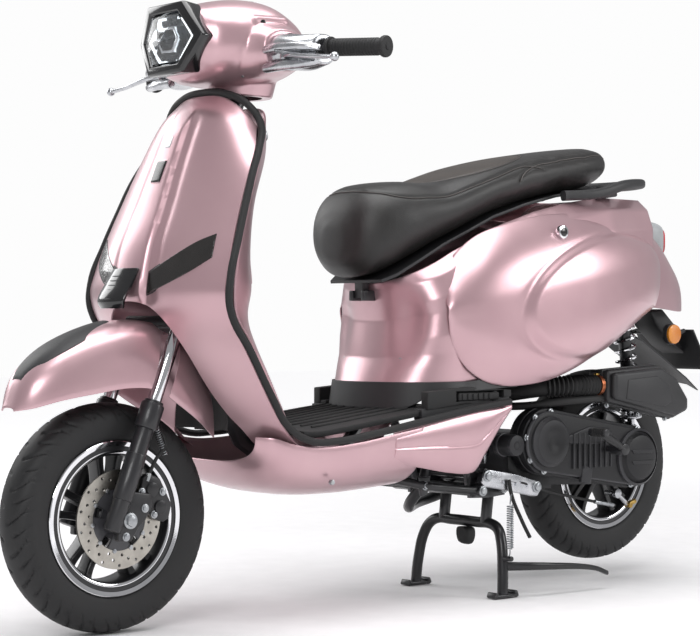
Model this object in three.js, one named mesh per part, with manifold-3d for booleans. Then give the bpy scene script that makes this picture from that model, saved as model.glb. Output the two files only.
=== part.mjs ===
// Moped scooter on its centre stand, with the rear wheel lifted clear of the ground.
// Millimetres. X points to the rider's left, Y points rearward, Z points up.
// Lengths along Y are given from the front axle; the last lines move the origin to the middle
// of the scooter's footprint.
import * as THREE from "three";
import { mergeVertices } from "three/addons/utils/BufferGeometryUtils.js";
import Module from "manifold-3d";

const wasm = await Module();
wasm.setup();

// Driving dimensions.
const WHEELBASE = 1320;
const TYRE_RADIUS = 215;
const TYRE_HALF_WIDTH = 45;
const RIM_LIP_RADIUS = 142;
const RIM_HALF_WIDTH = 38;
const RIM_WALL_RADIUS = 120;
const HUB_RADIUS = 40;
const SPOKE_PAIRS = 5;
const AXLE_RADIUS = 8;
const REAR_LIFT = 40;
const RAKE_DEG = 22;
const STEER_GROUND_Y = -95;
const AXLE_OFFSET = 7.5;
const LEG_OFFSET = -17;
const LEG_X = 74;
const LEG_RADIUS = 17;
const STANCHION_RADIUS = 13;
const FORK_TRAVEL = 60;
const DISC_RADIUS = 92;
const DISC_THICKNESS = 4;
const DISC_X = 47;
const GRIP_RADIUS = 16.5;
const BAR_RADIUS = 11;
const BAR_BEND_X = 110;
const BAR_END_X = 364;
const GRIP_LENGTH = 122;
const SHELL = 3;
const TRIM_RADIUS = 7;
const PIVOT_RADIUS = 8;
const STAND_PIVOT_Y = 933;
const STAND_PIVOT_Z = 226;
const STAND_HALF_WIDTH = 134;
const STAND_FOOT_Y = 905;
const SWING_PIVOT_Y = 872;
const SWING_PIVOT_Z = 256;
const SHOCK_X = 75;
const SHOCK_SPRING_RADIUS = 25;
const SEAT_HINGE_Y = 630;
const SEAT_HINGE_Z = 634;
const PLATE_TAIL_Y = 1626;

// Named clearances.
const RUNNING_GAP = 0.4;
const SEAT_GAP = 0.5;
const PANEL_GAP = 4;
const FORK_ROOM = 7;

// Facets round a turned, rod or tube section, enough for a true silhouette at this size.
const WHEEL_SIDES = 28;
const ROUND_SIDES = 12;
const ROD_SIDES = 8;
const TUBE_SIDES = 6;

// Worked out from the driving dimensions.
const FRONT_AXLE_Z = TYRE_RADIUS;
const REAR_AXLE_Z = TYRE_RADIUS + REAR_LIFT;
const RAKE = THREE.MathUtils.degToRad(RAKE_DEG);
const MIDDLE_Y = (PLATE_TAIL_Y - TYRE_RADIUS) / 2;

const LOOKS = {
  paint: { color: 0xc9a9b0, roughness: 0.32, metalness: 0.35 },
  black_plastic: { color: 0x232325, roughness: 0.55, metalness: 0 },
  gloss_black: { color: 0x151517, roughness: 0.25, metalness: 0 },
  rubber: { color: 0x1c1c1d, roughness: 0.85, metalness: 0 },
  tyre: { color: 0x1e1e1f, roughness: 0.9, metalness: 0 },
  vinyl: { color: 0x1d1b1b, roughness: 0.6, metalness: 0 },
  black_metal: { color: 0x1b1b1d, roughness: 0.45, metalness: 0.5 },
  cast: { color: 0xb9bcc0, roughness: 0.4, metalness: 0.9 },
  steel: { color: 0xc9cacc, roughness: 0.3, metalness: 1 },
  chrome: { color: 0xe6e7e9, roughness: 0.12, metalness: 1 },
  amber: { color: 0xd9731e, roughness: 0.25, metalness: 0 },
  smoke: { color: 0x3a3634, roughness: 0.15, metalness: 0 },
  red: { color: 0xb3262b, roughness: 0.2, metalness: 0 },
  clear: { color: 0xe8edf0, roughness: 0.08, metalness: 0 },
  copper: { color: 0xb86f4c, roughness: 0.35, metalness: 1 },
  liner: { color: 0x2c2b2b, roughness: 0.8, metalness: 0 },
};

const scooter = new THREE.Group();
const fork = new THREE.Group();
fork.position.set(0, STEER_GROUND_Y, 0);
fork.rotation.x = -RAKE;
scooter.add(fork);

// ---------------------------------------------------------------- helpers

const vec = (x, y, z) => new THREE.Vector3(x, y, z);

function bare(geometry) {
  const copy = geometry.clone();
  copy.deleteAttribute("normal");
  copy.deleteAttribute("uv");
  const merged = mergeVertices(copy, 1e-3);
  const kept = [];
  const index = merged.index.array;
  for (let i = 0; i < index.length; i += 3) {
    const [a, b, c] = [index[i], index[i + 1], index[i + 2]];
    if (a !== b && b !== c && c !== a) kept.push(a, b, c);
  }
  merged.setIndex(kept);
  return merged;
}

function signedVolume(geometry) {
  const p = geometry.attributes.position;
  const index = geometry.index.array;
  const [a, b, c] = [vec(0, 0, 0), vec(0, 0, 0), vec(0, 0, 0)];
  let total = 0;
  for (let i = 0; i < index.length; i += 3) {
    a.fromBufferAttribute(p, index[i]);
    b.fromBufferAttribute(p, index[i + 1]);
    c.fromBufferAttribute(p, index[i + 2]);
    total += a.dot(b.cross(c)) / 6;
  }
  return total;
}

// A closed mesh with its faces pointing out, whichever way its rings were wound.
function closed(geometry) {
  const solid = bare(geometry);
  if (signedVolume(solid) < 0) {
    const index = solid.index.array.slice();
    for (let i = 0; i < index.length; i += 3) [index[i + 1], index[i + 2]] = [index[i + 2], index[i + 1]];
    solid.setIndex(Array.from(index));
  }
  return solid;
}

function manifoldOf(geometry) {
  const solid = closed(geometry);
  return new wasm.Manifold(
    new wasm.Mesh({
      numProp: 3,
      vertProperties: solid.attributes.position.array,
      triVerts: new Uint32Array(solid.index.array),
    }),
  );
}

function geometryOf(manifold) {
  const mesh = manifold.getMesh();
  const geometry = new THREE.BufferGeometry();
  geometry.setAttribute("position", new THREE.BufferAttribute(mesh.vertProperties, 3));
  geometry.setIndex(new THREE.BufferAttribute(mesh.triVerts, 1));
  return geometry;
}

function join(...geometries) {
  return geometryOf(geometries.map(manifoldOf).reduce((a, b) => a.add(b)));
}

function cut(geometry, ...tools) {
  return geometryOf(tools.map(manifoldOf).reduce((a, b) => a.subtract(b), manifoldOf(geometry)));
}

function part(name, geometry, look, group = scooter) {
  const solid = closed(geometry);
  solid.computeVertexNormals();
  const mesh = new THREE.Mesh(solid, new THREE.MeshStandardMaterial(LOOKS[look]));
  mesh.name = name;
  group.add(mesh);
}

function slab([x0, x1], [y0, y1], [z0, z1]) {
  const box = new THREE.BoxGeometry(x1 - x0, y1 - y0, z1 - z0);
  return box.translate((x0 + x1) / 2, (y0 + y1) / 2, (z0 + z1) / 2);
}

// A round bar between two points.
function rod(from, to, radius, sides = ROD_SIDES) {
  const along = to.clone().sub(from);
  const bar = new THREE.CylinderGeometry(radius, radius, along.length(), sides);
  const turn = new THREE.Quaternion().setFromUnitVectors(vec(0, 1, 0), along.clone().normalize());
  const middle = from.clone().add(to).multiplyScalar(0.5);
  return bar.applyQuaternion(turn).translate(middle.x, middle.y, middle.z);
}

const rodX = (x0, x1, y, z, radius, sides = ROD_SIDES) => rod(vec(x0, y, z), vec(x1, y, z), radius, sides);

// A round section swept along a smooth curve.
function tube(points, radius, steps, sides = TUBE_SIDES) {
  const section = new THREE.Shape();
  for (let i = 0; i <= sides; i++) {
    const angle = (i / sides) * 2 * Math.PI;
    const [x, y] = [radius * Math.cos(angle), radius * Math.sin(angle)];
    if (i === 0) section.moveTo(x, y);
    else section.lineTo(x, y);
  }
  const path = new THREE.CatmullRomCurve3(points.map((p) => vec(...p)));
  return new THREE.ExtrudeGeometry(section, { steps, extrudePath: path });
}

// A profile of [radius, x] points turned about the X axis.
function turned(profile, sides = WHEEL_SIDES) {
  const points = profile.map(([radius, x]) => new THREE.Vector2(radius, x));
  return new THREE.LatheGeometry(points, sides).rotateZ(-Math.PI / 2);
}

// Closed loops of points joined in order, with a fan over each end.
function skin(rings) {
  const sides = rings[0].length;
  const position = rings.flat().flatMap((p) => [p.x, p.y, p.z]);
  const index = [];
  for (let r = 0; r + 1 < rings.length; r++) {
    for (let i = 0; i < sides; i++) {
      const [a, b] = [r * sides + i, r * sides + ((i + 1) % sides)];
      index.push(a, b, b + sides, a, b + sides, a + sides);
    }
  }
  for (const [ring, flip] of [[0, true], [rings.length - 1, false]]) {
    const middle = rings[ring].reduce((sum, p) => sum.add(p), vec(0, 0, 0)).divideScalar(sides);
    const centre = position.length / 3;
    position.push(middle.x, middle.y, middle.z);
    for (let i = 0; i < sides; i++) {
      const [a, b] = [ring * sides + i, ring * sides + ((i + 1) % sides)];
      index.push(...(flip ? [centre, b, a] : [centre, a, b]));
    }
  }
  return meshOf(position, index);
}

function meshOf(position, index) {
  const geometry = new THREE.BufferGeometry();
  geometry.setAttribute("position", new THREE.Float32BufferAttribute(position, 3));
  geometry.setIndex(index);
  return geometry;
}

// Sections across Y, each [y, centre height, half width, half height, squareness].
function loftY(stations, sides = ROUND_SIDES, inset = 0) {
  const rings = stations.map(([y, z, wide, high, square = 2.4]) => {
    const ring = [];
    for (let i = 0; i < sides; i++) {
      const angle = (i / sides) * 2 * Math.PI;
      const [c, s] = [Math.cos(angle), Math.sin(angle)];
      const x = (wide - inset) * Math.sign(c) * Math.abs(c) ** (2 / square);
      const up = (high - inset) * Math.sign(s) * Math.abs(s) ** (2 / square);
      ring.push(vec(x, y, z + up));
    }
    return ring;
  });
  return skin(rings);
}

// A curved panel: rows of points on its outer face, given a wall on the far side.
function plate(rows, wall = SHELL) {
  const [m, n] = [rows.length, rows[0].length];
  const at = (i, j) => rows[Math.min(Math.max(i, 0), m - 1)][Math.min(Math.max(j, 0), n - 1)];
  const outer = rows.flat();
  const inner = rows.flatMap((row, i) =>
    row.map((p, j) => {
      const down = at(i + 1, j).clone().sub(at(i - 1, j));
      const across = at(i, j + 1).clone().sub(at(i, j - 1));
      return p.clone().addScaledVector(down.cross(across).normalize(), wall);
    }),
  );
  const index = [];
  const quad = (a, b, c, d) => index.push(a, b, c, a, c, d);
  const id = (i, j, back) => i * n + j + (back ? m * n : 0);
  for (let i = 0; i + 1 < m; i++) {
    for (let j = 0; j + 1 < n; j++) {
      quad(id(i, j), id(i, j + 1), id(i + 1, j + 1), id(i + 1, j));
      quad(id(i, j, 1), id(i + 1, j, 1), id(i + 1, j + 1, 1), id(i, j + 1, 1));
    }
    quad(id(i, 0), id(i + 1, 0), id(i + 1, 0, 1), id(i, 0, 1));
    quad(id(i, n - 1), id(i, n - 1, 1), id(i + 1, n - 1, 1), id(i + 1, n - 1));
  }
  for (let j = 0; j + 1 < n; j++) {
    quad(id(0, j), id(0, j, 1), id(0, j + 1, 1), id(0, j + 1));
    quad(id(m - 1, j), id(m - 1, j + 1), id(m - 1, j + 1, 1), id(m - 1, j, 1));
  }
  return meshOf([...outer, ...inner].flatMap((p) => [p.x, p.y, p.z]), index);
}

// An outline in the Y-Z plane given thickness along X.
function sidePlate(outline, x0, x1) {
  const shape = new THREE.Shape(outline.map(([y, z]) => new THREE.Vector2(y, z)));
  const solid = new THREE.ExtrudeGeometry(shape, { depth: x1 - x0, bevelEnabled: false });
  solid.applyMatrix4(new THREE.Matrix4().makeBasis(vec(0, 1, 0), vec(0, 0, 1), vec(1, 0, 0)));
  return solid.translate(x0, 0, 0);
}

const mirrorRows = (rows) => rows.map((row) => row.map((p) => vec(-p.x, p.y, p.z)).reverse());

// A value read off a short table of [place, value] by straight lines.
function readOff(table, place) {
  if (place <= table[0][0]) return table[0][1];
  for (let i = 1; i < table.length; i++) {
    const [[a, va], [b, vb]] = [table[i - 1], table[i]];
    if (place <= b) return va + ((vb - va) * (place - a)) / (b - a);
  }
  return table[table.length - 1][1];
}

// A point on the steering axis line, moved back across it by offset.
function onSteering(height, offset = 0) {
  const y = STEER_GROUND_Y + height * Math.sin(RAKE) + offset * Math.cos(RAKE);
  const z = height * Math.cos(RAKE) - offset * Math.sin(RAKE);
  return [y, z];
}

// A bore's corner radius that keeps the running gap to a round of the same facets at every turn.
const boreFor = (radius, sides = ROD_SIDES) => (radius + RUNNING_GAP) / Math.cos(Math.PI / sides);

// Distance along the steering axis at which it passes a given height.
const steerAt = (z) => z / Math.cos(RAKE);

// ---------------------------------------------------------------- wheels

function tyreShape() {
  const wall = TYRE_RADIUS - RIM_LIP_RADIUS;
  const half = [
    [RIM_LIP_RADIUS + SEAT_GAP, RIM_HALF_WIDTH - 6],
    [RIM_LIP_RADIUS + 0.2 * wall, TYRE_HALF_WIDTH - 3],
    [RIM_LIP_RADIUS + 0.5 * wall, TYRE_HALF_WIDTH],
    [RIM_LIP_RADIUS + 0.78 * wall, TYRE_HALF_WIDTH - 5],
    [RIM_LIP_RADIUS + 0.94 * wall, 0.5 * TYRE_HALF_WIDTH],
  ];
  const mirrored = half.map(([r, x]) => [r, -x]).reverse();
  return turned([...half, [TYRE_RADIUS, 0], ...mirrored, half[0]]);
}

function rimShape() {
  const ring = turned([
    [RIM_WALL_RADIUS, -RIM_HALF_WIDTH + 4],
    [RIM_LIP_RADIUS, -RIM_HALF_WIDTH],
    [RIM_LIP_RADIUS, -RIM_HALF_WIDTH + 5],
    [RIM_WALL_RADIUS + 8, 0],
    [RIM_LIP_RADIUS, RIM_HALF_WIDTH - 5],
    [RIM_LIP_RADIUS, RIM_HALF_WIDTH],
    [RIM_WALL_RADIUS, RIM_HALF_WIDTH - 4],
    [RIM_WALL_RADIUS, -RIM_HALF_WIDTH + 4],
  ]);
  const hub = rodX(-RIM_HALF_WIDTH, RIM_HALF_WIDTH, 0, 0, HUB_RADIUS, ROUND_SIDES);
  const spokes = [];
  for (let i = 0; i < SPOKE_PAIRS; i++) {
    for (const side of [-1, 1]) {
      const spoke = slab([-14, 14], [-7, 7], [0.7 * HUB_RADIUS, RIM_WALL_RADIUS + 3]);
      spoke.rotateX(0.14 * side).translate(0, -14 * side, 0);
      spokes.push(spoke.rotateX((i / SPOKE_PAIRS) * 2 * Math.PI));
    }
  }
  const bore = rodX(-RIM_LIP_RADIUS, RIM_LIP_RADIUS, 0, 0, boreFor(AXLE_RADIUS, ROUND_SIDES), ROUND_SIDES);
  return cut(join(ring, hub, ...spokes), bore);
}

function wheel(name, y, z) {
  part(`${name}_tyre`, tyreShape().translate(0, y, z), "tyre");
  part(`${name}_rim`, rimShape().translate(0, y, z), "black_metal");
}

function brakeDisc() {
  const [x0, x1] = [DISC_X - DISC_THICKNESS / 2, DISC_X + DISC_THICKNESS / 2];
  const disc = turned([[24, x0], [DISC_RADIUS, x0], [DISC_RADIUS, x1], [24, x1], [24, x0]]);
  part("brake_disc", disc.translate(0, 0, FRONT_AXLE_Z), "steel");
}

// ---------------------------------------------------------------- fork and steering

const LEG_FOOT = 205;
const LEG_TOP = 450;
const CROWN_AT = 600;
const STEM_TOP = steerAt(1078);
const STANCHION_FOOT = LEG_TOP - 160;

// One lower leg, with the well that its stanchion slides in.
function forkLeg(x) {
    const [axleY, axleV] = [AXLE_OFFSET, FRONT_AXLE_V];
    const leg = rod(vec(x, LEG_OFFSET, LEG_FOOT), vec(x, LEG_OFFSET, LEG_TOP), LEG_RADIUS, ROUND_SIDES);
    const cap = rod(vec(x, LEG_OFFSET, LEG_TOP - 46), vec(x, LEG_OFFSET, LEG_TOP + 4), LEG_RADIUS + 4, ROUND_SIDES);
    const lug = slab([x - 8, x + 8], [LEG_OFFSET, axleY + 16], [axleV - 26, axleV + 50]);
    const well = rod(
      vec(x, LEG_OFFSET, STANCHION_FOOT - FORK_TRAVEL - 4),
      vec(x, LEG_OFFSET, LEG_TOP + 10),
      STANCHION_RADIUS + RUNNING_GAP,
      ROUND_SIDES,
    );
    return cut(join(leg, cap, lug), well);
}

function forkLowers() {
  const axle = rodX(-LEG_X - 20, LEG_X + 20, AXLE_OFFSET, FRONT_AXLE_V, AXLE_RADIUS);
  const nuts = [-LEG_X - 20, LEG_X + 8].map((x) => rodX(x, x + 12, AXLE_OFFSET, FRONT_AXLE_V, 13, 6));
  part("fork_lowers", join(forkLeg(LEG_X), forkLeg(-LEG_X), axle, ...nuts), "black_metal", fork);
}

function forkUpper() {
  const crown = slab([-LEG_X - 16, LEG_X + 16], [LEG_OFFSET - 17, 22], [CROWN_AT, CROWN_AT + 22]);
  const stem = rod(vec(0, 0, CROWN_AT + 10), vec(0, 0, STEM_TOP), 15, ROUND_SIDES);
  const stanchions = [-LEG_X, LEG_X].map((x) => {
    return rod(vec(x, LEG_OFFSET, STANCHION_FOOT), vec(x, LEG_OFFSET, CROWN_AT + 10), STANCHION_RADIUS, ROUND_SIDES);
  });
  part("fork_upper", join(crown, stem, ...stanchions), "chrome", fork);
}

function caliper() {
  const turn = THREE.MathUtils.degToRad(-28);
  const body = slab([DISC_X - 12, DISC_X + 20], [62, 106], [-38, 38]);
  const slot = slab([DISC_X - 4, DISC_X + 4], [-100, DISC_RADIUS + 3], [-60, 60]);
  const lug = slab([DISC_X + 8, LEG_X - 9.5], [30, 80], [-10, 24]);
  const whole = cut(join(body, lug), slot).rotateX(-turn);
  part("brake_caliper", whole.translate(0, 0, FRONT_AXLE_Z), "black_metal");
}

const BAR_MIDDLE_Y = 305;
const BAR_MIDDLE_Z = 1094;
const BAR_END_Y = 372;
const BAR_END_Z = 1077;

// A point on the left bar at a distance x from the centre.
function onBar(x) {
  const share = (Math.abs(x) - BAR_BEND_X) / (BAR_END_X - BAR_BEND_X);
  const y = BAR_MIDDLE_Y + share * (BAR_END_Y - BAR_MIDDLE_Y);
  return vec(x, y, BAR_MIDDLE_Z + share * (BAR_END_Z - BAR_MIDDLE_Z));
}

function barBetween(x0, x1, radius, sides = ROD_SIDES) {
  return rod(onBar(x0), onBar(x1), radius, sides);
}

function handlebar() {
  const middle = rodX(-BAR_BEND_X - 3, BAR_BEND_X + 3, BAR_MIDDLE_Y, BAR_MIDDLE_Z, BAR_RADIUS);
  const arms = [-1, 1].map((s) => barBetween(s * BAR_BEND_X, s * BAR_END_X, BAR_RADIUS));
  const [stemY, stemZ] = onSteering(STEM_TOP + 3);
  const clamp = rod(vec(0, stemY - 4, stemZ - 6), vec(0, BAR_MIDDLE_Y + 12, BAR_MIDDLE_Z + 8), 15);
  const clear = rod(
    vec(0, ...onSteering(STEM_TOP - 60)),
    vec(0, ...onSteering(STEM_TOP + 0.6)),
    40,
  );
  part("handlebar_tube", cut(join(middle, clamp, ...arms), clear), "black_metal");
}

function grips() {
  const inner = BAR_END_X - GRIP_LENGTH;
  for (const [side, name] of [[1, "left"], [-1, "right"]]) {
    const body = barBetween(side * inner, side * (BAR_END_X + 4), GRIP_RADIUS, ROUND_SIDES);
    const flange = barBetween(side * (BAR_END_X - 4), side * (BAR_END_X + 4), GRIP_RADIUS + 4, ROUND_SIDES);
    const bore = barBetween(side * (inner - 40), side * (BAR_END_X + 0.6), boreFor(BAR_RADIUS), ROD_SIDES);
    part(`grip_${name}`, cut(join(body, flange), bore), "rubber");
  }
}

const LEVER_PIVOT = [204, 268, 1066];
const LEVER_BALL = [357, 256, 1050];

function switchHousings() {
  for (const side of [1, -1]) {
    const name = side > 0 ? "left" : "right";
    const barrel = barBetween(side * 158, side * 236, 30, ROUND_SIDES);
    const [px, py, pz] = LEVER_PIVOT;
    const horn = rod(vec(side * (px - 30), py + 42, pz + 20), vec(side * px, py, pz), 22);
    const perch = rod(vec(side * px, py, pz - 13), vec(side * px, py, pz + 13), 15);
    const slot = rod(vec(side * px, py, pz - 6), vec(side * px, py, pz + 6), 32, ROUND_SIDES);
    const run = slab([0, 110], [-20, 26], [-6, 6]).rotateY(0.1).translate(px, py, pz);
    if (side < 0) run.scale(-1, 1, 1);
    const bore = barBetween(side * 120, side * 260, BAR_RADIUS + RUNNING_GAP, ROUND_SIDES);
    const button = BUTTON(side, RUNNING_GAP, 14);
    const mirrored = side < 0 ? fixMirror(run) : run;
    const whole = cut(join(barrel, horn, perch), slot, mirrored, bore, button);
    const pin = rod(vec(side * px, py, pz - 8), vec(side * px, py, pz + 8), 4, 12);
    part(`switch_housing_${name}`, join(whole, pin), "cast");
  }
}

// Turns a mirrored mesh's faces back to pointing out.
const fixMirror = (geometry) => closed(geometry);

// A push button on the rider's face of a switch housing.
function BUTTON(side, gap, depth) {
  const centre = onBar(side * 196);
  const [face, back] = [centre.y + 33 + gap, centre.y + 33 - depth];
  return rod(vec(centre.x, back, centre.z + 4), vec(centre.x, face, centre.z + 4), 6 + gap);
}

function brakeLevers() {
  for (const side of [1, -1]) {
    const [px, py, pz] = LEVER_PIVOT;
    const [bx, by, bz] = LEVER_BALL;
    const boss = rod(vec(side * px, py, pz - 5), vec(side * px, py, pz + 5), 10);
    const route = [
      [side * px, py, pz], [side * (px + 50), py - 8, pz - 4], [side * bx, by, bz],
    ];
    const arm = tube(route, 4.6, 6);
    const ball = new THREE.SphereGeometry(8, 8, 6).translate(side * bx, by, bz);
    const hole = rod(vec(side * px, py, pz - 9), vec(side * px, py, pz + 9), boreFor(4, ROUND_SIDES), ROUND_SIDES);
    part(`brake_lever_${side > 0 ? "left" : "right"}`, cut(join(boss, arm, ball), hole), "cast");
  }
}

function buttons() {
  part("horn_button", BUTTON(1, 0, 10), "amber");
  part("start_button", BUTTON(-1, 0, 10), "red");
}

const HEADSET = [
  [176, 1109, 82, 56, 2.4],
  [192, 1104, 106, 72, 2.4],
  [232, 1108, 127, 80, 2.3],
  [282, 1112, 144, 83, 2.2],
  [332, 1113, 150, 78, 2.2],
  [376, 1108, 140, 60, 2.2],
  [402, 1104, 114, 42, 2.2],
];
const NECK_FOOT_Z = 992;

function neck(inset, from, to) {
  const rings = [[0, 50, 58], [1, 76, 96]].map(([share, wideY, wideX]) => {
    const height = steerAt(from + share * (to - from));
    const [y, z] = onSteering(height);
    const ring = [];
    for (let i = 0; i < ROUND_SIDES; i++) {
      const angle = (i / ROUND_SIDES) * 2 * Math.PI;
      ring.push(vec((wideX - inset) * Math.cos(angle), y + (wideY - inset) * Math.sin(angle), z));
    }
    return ring;
  });
  return skin(rings);
}

function headset() {
  const outer = join(loftY(HEADSET), neck(0, NECK_FOOT_Z, 1052), ...mirrorBosses());
  const hollow = HEADSET.map(([y, ...rest], i) => [y + (i === 0 ? -12 : i === 6 ? -SHELL : 0), ...rest]);
  const inner = join(loftY(hollow, 20, SHELL), neck(SHELL, NECK_FOOT_Z - 8, 1052));
  const ports = [-1, 1].map((s) => barBetween(s * 120, s * 250, 31));
  part("headset_cover", cut(outer, inner, ...ports, dashboard(RUNNING_GAP, 18)), "paint");
}

function mirrorBosses() {
  return [-1, 1].map((side) => {
    const boss = loftY([[262, 1160, 20, 20, 4], [340, 1158, 24, 20, 4]], 12);
    return boss.translate(side * 100, 0, 0);
  });
}

function dashboard(gap, depth) {
  const face = rod(vec(0, 0, -depth), vec(0, 0, 8 + 100 * gap), 52 + gap, ROUND_SIDES);
  return face.rotateX(-0.75).translate(0, 366, 1158);
}

function speedometer() {
  part("speedometer", dashboard(0, 14), "gloss_black");
}

// A six-sided frame that sweeps back from its middle.
function hexLoop(halfWide, halfHigh, y, sweep) {
  const corners = [[1, 0], [0.55, 1], [-0.55, 1], [-1, 0], [-0.55, -1], [0.55, -1]];
  return corners.map(([a, b]) => vec(a * halfWide, y + sweep * Math.abs(a) * halfWide, 1109 + b * halfHigh));
}

function ringOf(loops) {
  const n = loops[0].length;
  const position = loops.flat().flatMap((p) => [p.x, p.y, p.z]);
  const index = [];
  loops.forEach((_, r) => {
    const next = ((r + 1) % loops.length) * n;
    for (let i = 0; i < n; i++) {
      const [a, b] = [r * n + i, r * n + ((i + 1) % n)];
      const [c, d] = [next + ((i + 1) % n), next + i];
      index.push(a, b, c, a, c, d);
    }
  });
  return meshOf(position, index);
}

function headlight() {
  const bezel = ringOf([
    hexLoop(100, 66, 174, 0),
    hexLoop(102, 67, 124, 0.34),
    hexLoop(78, 49, 124, 0.34),
    hexLoop(70, 43, 150, 0.1),
    hexLoop(70, 43, 174, 0),
  ]);
  part("headlight_bezel", bezel, "black_plastic");
  const lens = skin([hexLoop(67, 41, 172, 0), hexLoop(67, 41, 152, 0.1)]);
  part("headlight_lens", lens, "clear");
}

// Fender sections: [y, crown height, side height, half width].
const FENDER = [
  [-206, 424, 418, 22],
  [-180, 486, 424, 50],
  [-134, 522, 437, 68],
  [-70, 555, 448, 78],
  [0, 576, 457, 83],
  [60, 580, 452, 84],
  [110, 570, 424, 82],
  [160, 540, 392, 76],
  [206, 470, 360, 62],
];

function fender() {
  const rows = FENDER.map(([y, top, low, wide]) => {
    const row = [];
    for (let j = 0; j <= 8; j++) {
      const angle = (j / 8) * Math.PI;
      const x = wide * Math.sign(Math.cos(angle)) * Math.abs(Math.cos(angle)) ** 0.75;
      row.push(vec(x, y, low + (top - low) * Math.sin(angle) ** 0.75));
    }
    return row;
  });
  const stems = [-1, 1].map((s) => forkRod(s * LEG_X, LEG_RADIUS + FORK_ROOM));
  part("front_fender", cut(plate(rows), ...stems, crownRoom()), "paint");
}

// Space for a fork tube through the fender.
function forkRod(x, radius) {
  const [y0, z0] = onSteering(300, LEG_OFFSET);
  const [y1, z1] = onSteering(CROWN_AT + 40, LEG_OFFSET);
  return rod(vec(x, y0, z0), vec(x, y1, z1), radius);
}

// The crown passes through the fender's top; the space leaves it free all round.
function crownRoom() {
  const room = slab([-LEG_X - 26, LEG_X + 26], [LEG_OFFSET - 24, 28], [CROWN_AT - 6, CROWN_AT + 40]);
  return room.rotateX(-RAKE).translate(0, STEER_GROUND_Y, 0);
}

// ---------------------------------------------------------------- front body

// The edge line of the leg shield and floor on the rider's left: [x, y, z] from the top middle.
const EDGE = [
  [0, 228, 1015], [75, 232, 1006], [125, 242, 982], [152, 250, 945], [178, 226, 900],
  [194, 198, 850], [206, 172, 790], [218, 146, 726], [228, 121, 655], [228, 121, 600],
  [217, 178, 520], [208, 232, 440], [204, 272, 385], [201, 330, 354], [198, 400, 351],
  [194, 500, 362], [190, 610, 378], [188, 768, 402], [186, 872, 414],
];

function edgeTrim() {
  const right = EDGE.slice(1).map(([x, y, z]) => [-x, y, z]).reverse();
  part("edge_trim", tube([...right, ...EDGE], TRIM_RADIUS, 44), "rubber");
}

// Leg shield sections: [middle height, edge height, half width, middle y, edge y].
const APRON = [
  [1006, 940, 144, 222, 246],
  [968, 905, 166, 184, 226],
  [890, 862, 184, 148, 200],
  [800, 796, 197, 110, 170],
  [726, 726, 209, 78, 142],
  [672, 672, 217, 64, 124],
  [632, 632, 220, 58, 115],
  [585, 585, 217, 64, 128],
  [520, 520, 208, 86, 174],
  [455, 455, 200, 128, 218],
  [405, 405, 195, 176, 252],
  [376, 376, 193, 214, 276],
];
const ARCH_HALF_WIDTH = 114;
const ARCH_TOP_Z = 618;

function apronRow([middleZ, edgeZ, wide, middleY, edgeY], halfCount = 5) {
  const row = [];
  for (let j = -halfCount; j <= halfCount; j++) {
    const s = -j / halfCount;
    const z = middleZ + (edgeZ - middleZ) * Math.abs(s) ** 3;
    row.push(vec(wide * s, middleY + (edgeY - middleY) * s * s, z));
  }
  return row;
}

function archTool() {
  const shape = new THREE.Shape();
  shape.moveTo(-ARCH_HALF_WIDTH, 300);
  shape.lineTo(ARCH_HALF_WIDTH, 300);
  shape.lineTo(ARCH_HALF_WIDTH, ARCH_TOP_Z - 80);
  shape.quadraticCurveTo(ARCH_HALF_WIDTH, ARCH_TOP_Z, 0, ARCH_TOP_Z);
  shape.quadraticCurveTo(-ARCH_HALF_WIDTH, ARCH_TOP_Z, -ARCH_HALF_WIDTH, ARCH_TOP_Z - 80);
  const tool = new THREE.ExtrudeGeometry(shape, { depth: 500, bevelEnabled: false, curveSegments: 8 });
  return tool.rotateX(Math.PI / 2).translate(0, 400, 0);
}

function legShield() {
  part("leg_shield", cut(plate(APRON.map((r) => apronRow(r))), archTool()), "paint");
}

function hornCover() {
  const rows = [
    [670, 38, 40], [640, 42, 24], [612, 40, 10], [600, 30, 14],
  ].map(([z, wide, y]) => [-1, -0.5, 0, 0.5, 1].map((s) => vec(-wide * s, y + 14 * s * s, z)));
  part("horn_cover", plate(rows, 10), "gloss_black");
}

// Lens outline across the shield: [share of half width, height].
const SIGNAL_ROWS = [[0.82, 732, 690], [0.66, 716, 668], [0.46, 694, 650], [0.26, 668, 636]];

function signals() {
  for (const side of [1, -1]) {
    const rows = SIGNAL_ROWS.map(([s, top, low]) => {
      return [0, 0.5, 1].map((t) => {
        const z = top + (low - top) * t;
        const wide = readOff([[585, 217], [632, 220], [726, 209], [800, 197]], z);
        const middle = readOff([[585, 64], [632, 58], [672, 64], [726, 78], [800, 110]], z);
        const edge = readOff([[585, 128], [632, 115], [672, 124], [726, 142], [800, 170]], z);
        return vec(wide * s, middle + (edge - middle) * s * s - 8, z);
      });
    });
    const name = side > 0 ? "left" : "right";
    part(`front_signal_${name}`, plate(side > 0 ? rows : mirrorRows(rows), 5), "smoke");
  }
}

// Knee-side panel sections: [middle height, edge height, half width, edge y, bulge].
const INNER_SHIELD = [
  [990, 925, 142, 254, 66],
  [900, 880, 168, 226, 88],
  [800, 796, 192, 184, 92],
  [700, 700, 207, 146, 125],
  [640, 640, 213, 132, 145],
  [590, 590, 212, 138, 125],
  [540, 540, 206, 176, 92],
  [470, 470, 198, 222, 84],
  [424, 424, 192, 252, 78],
  [400, 400, 188, 270, 70],
];

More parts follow.
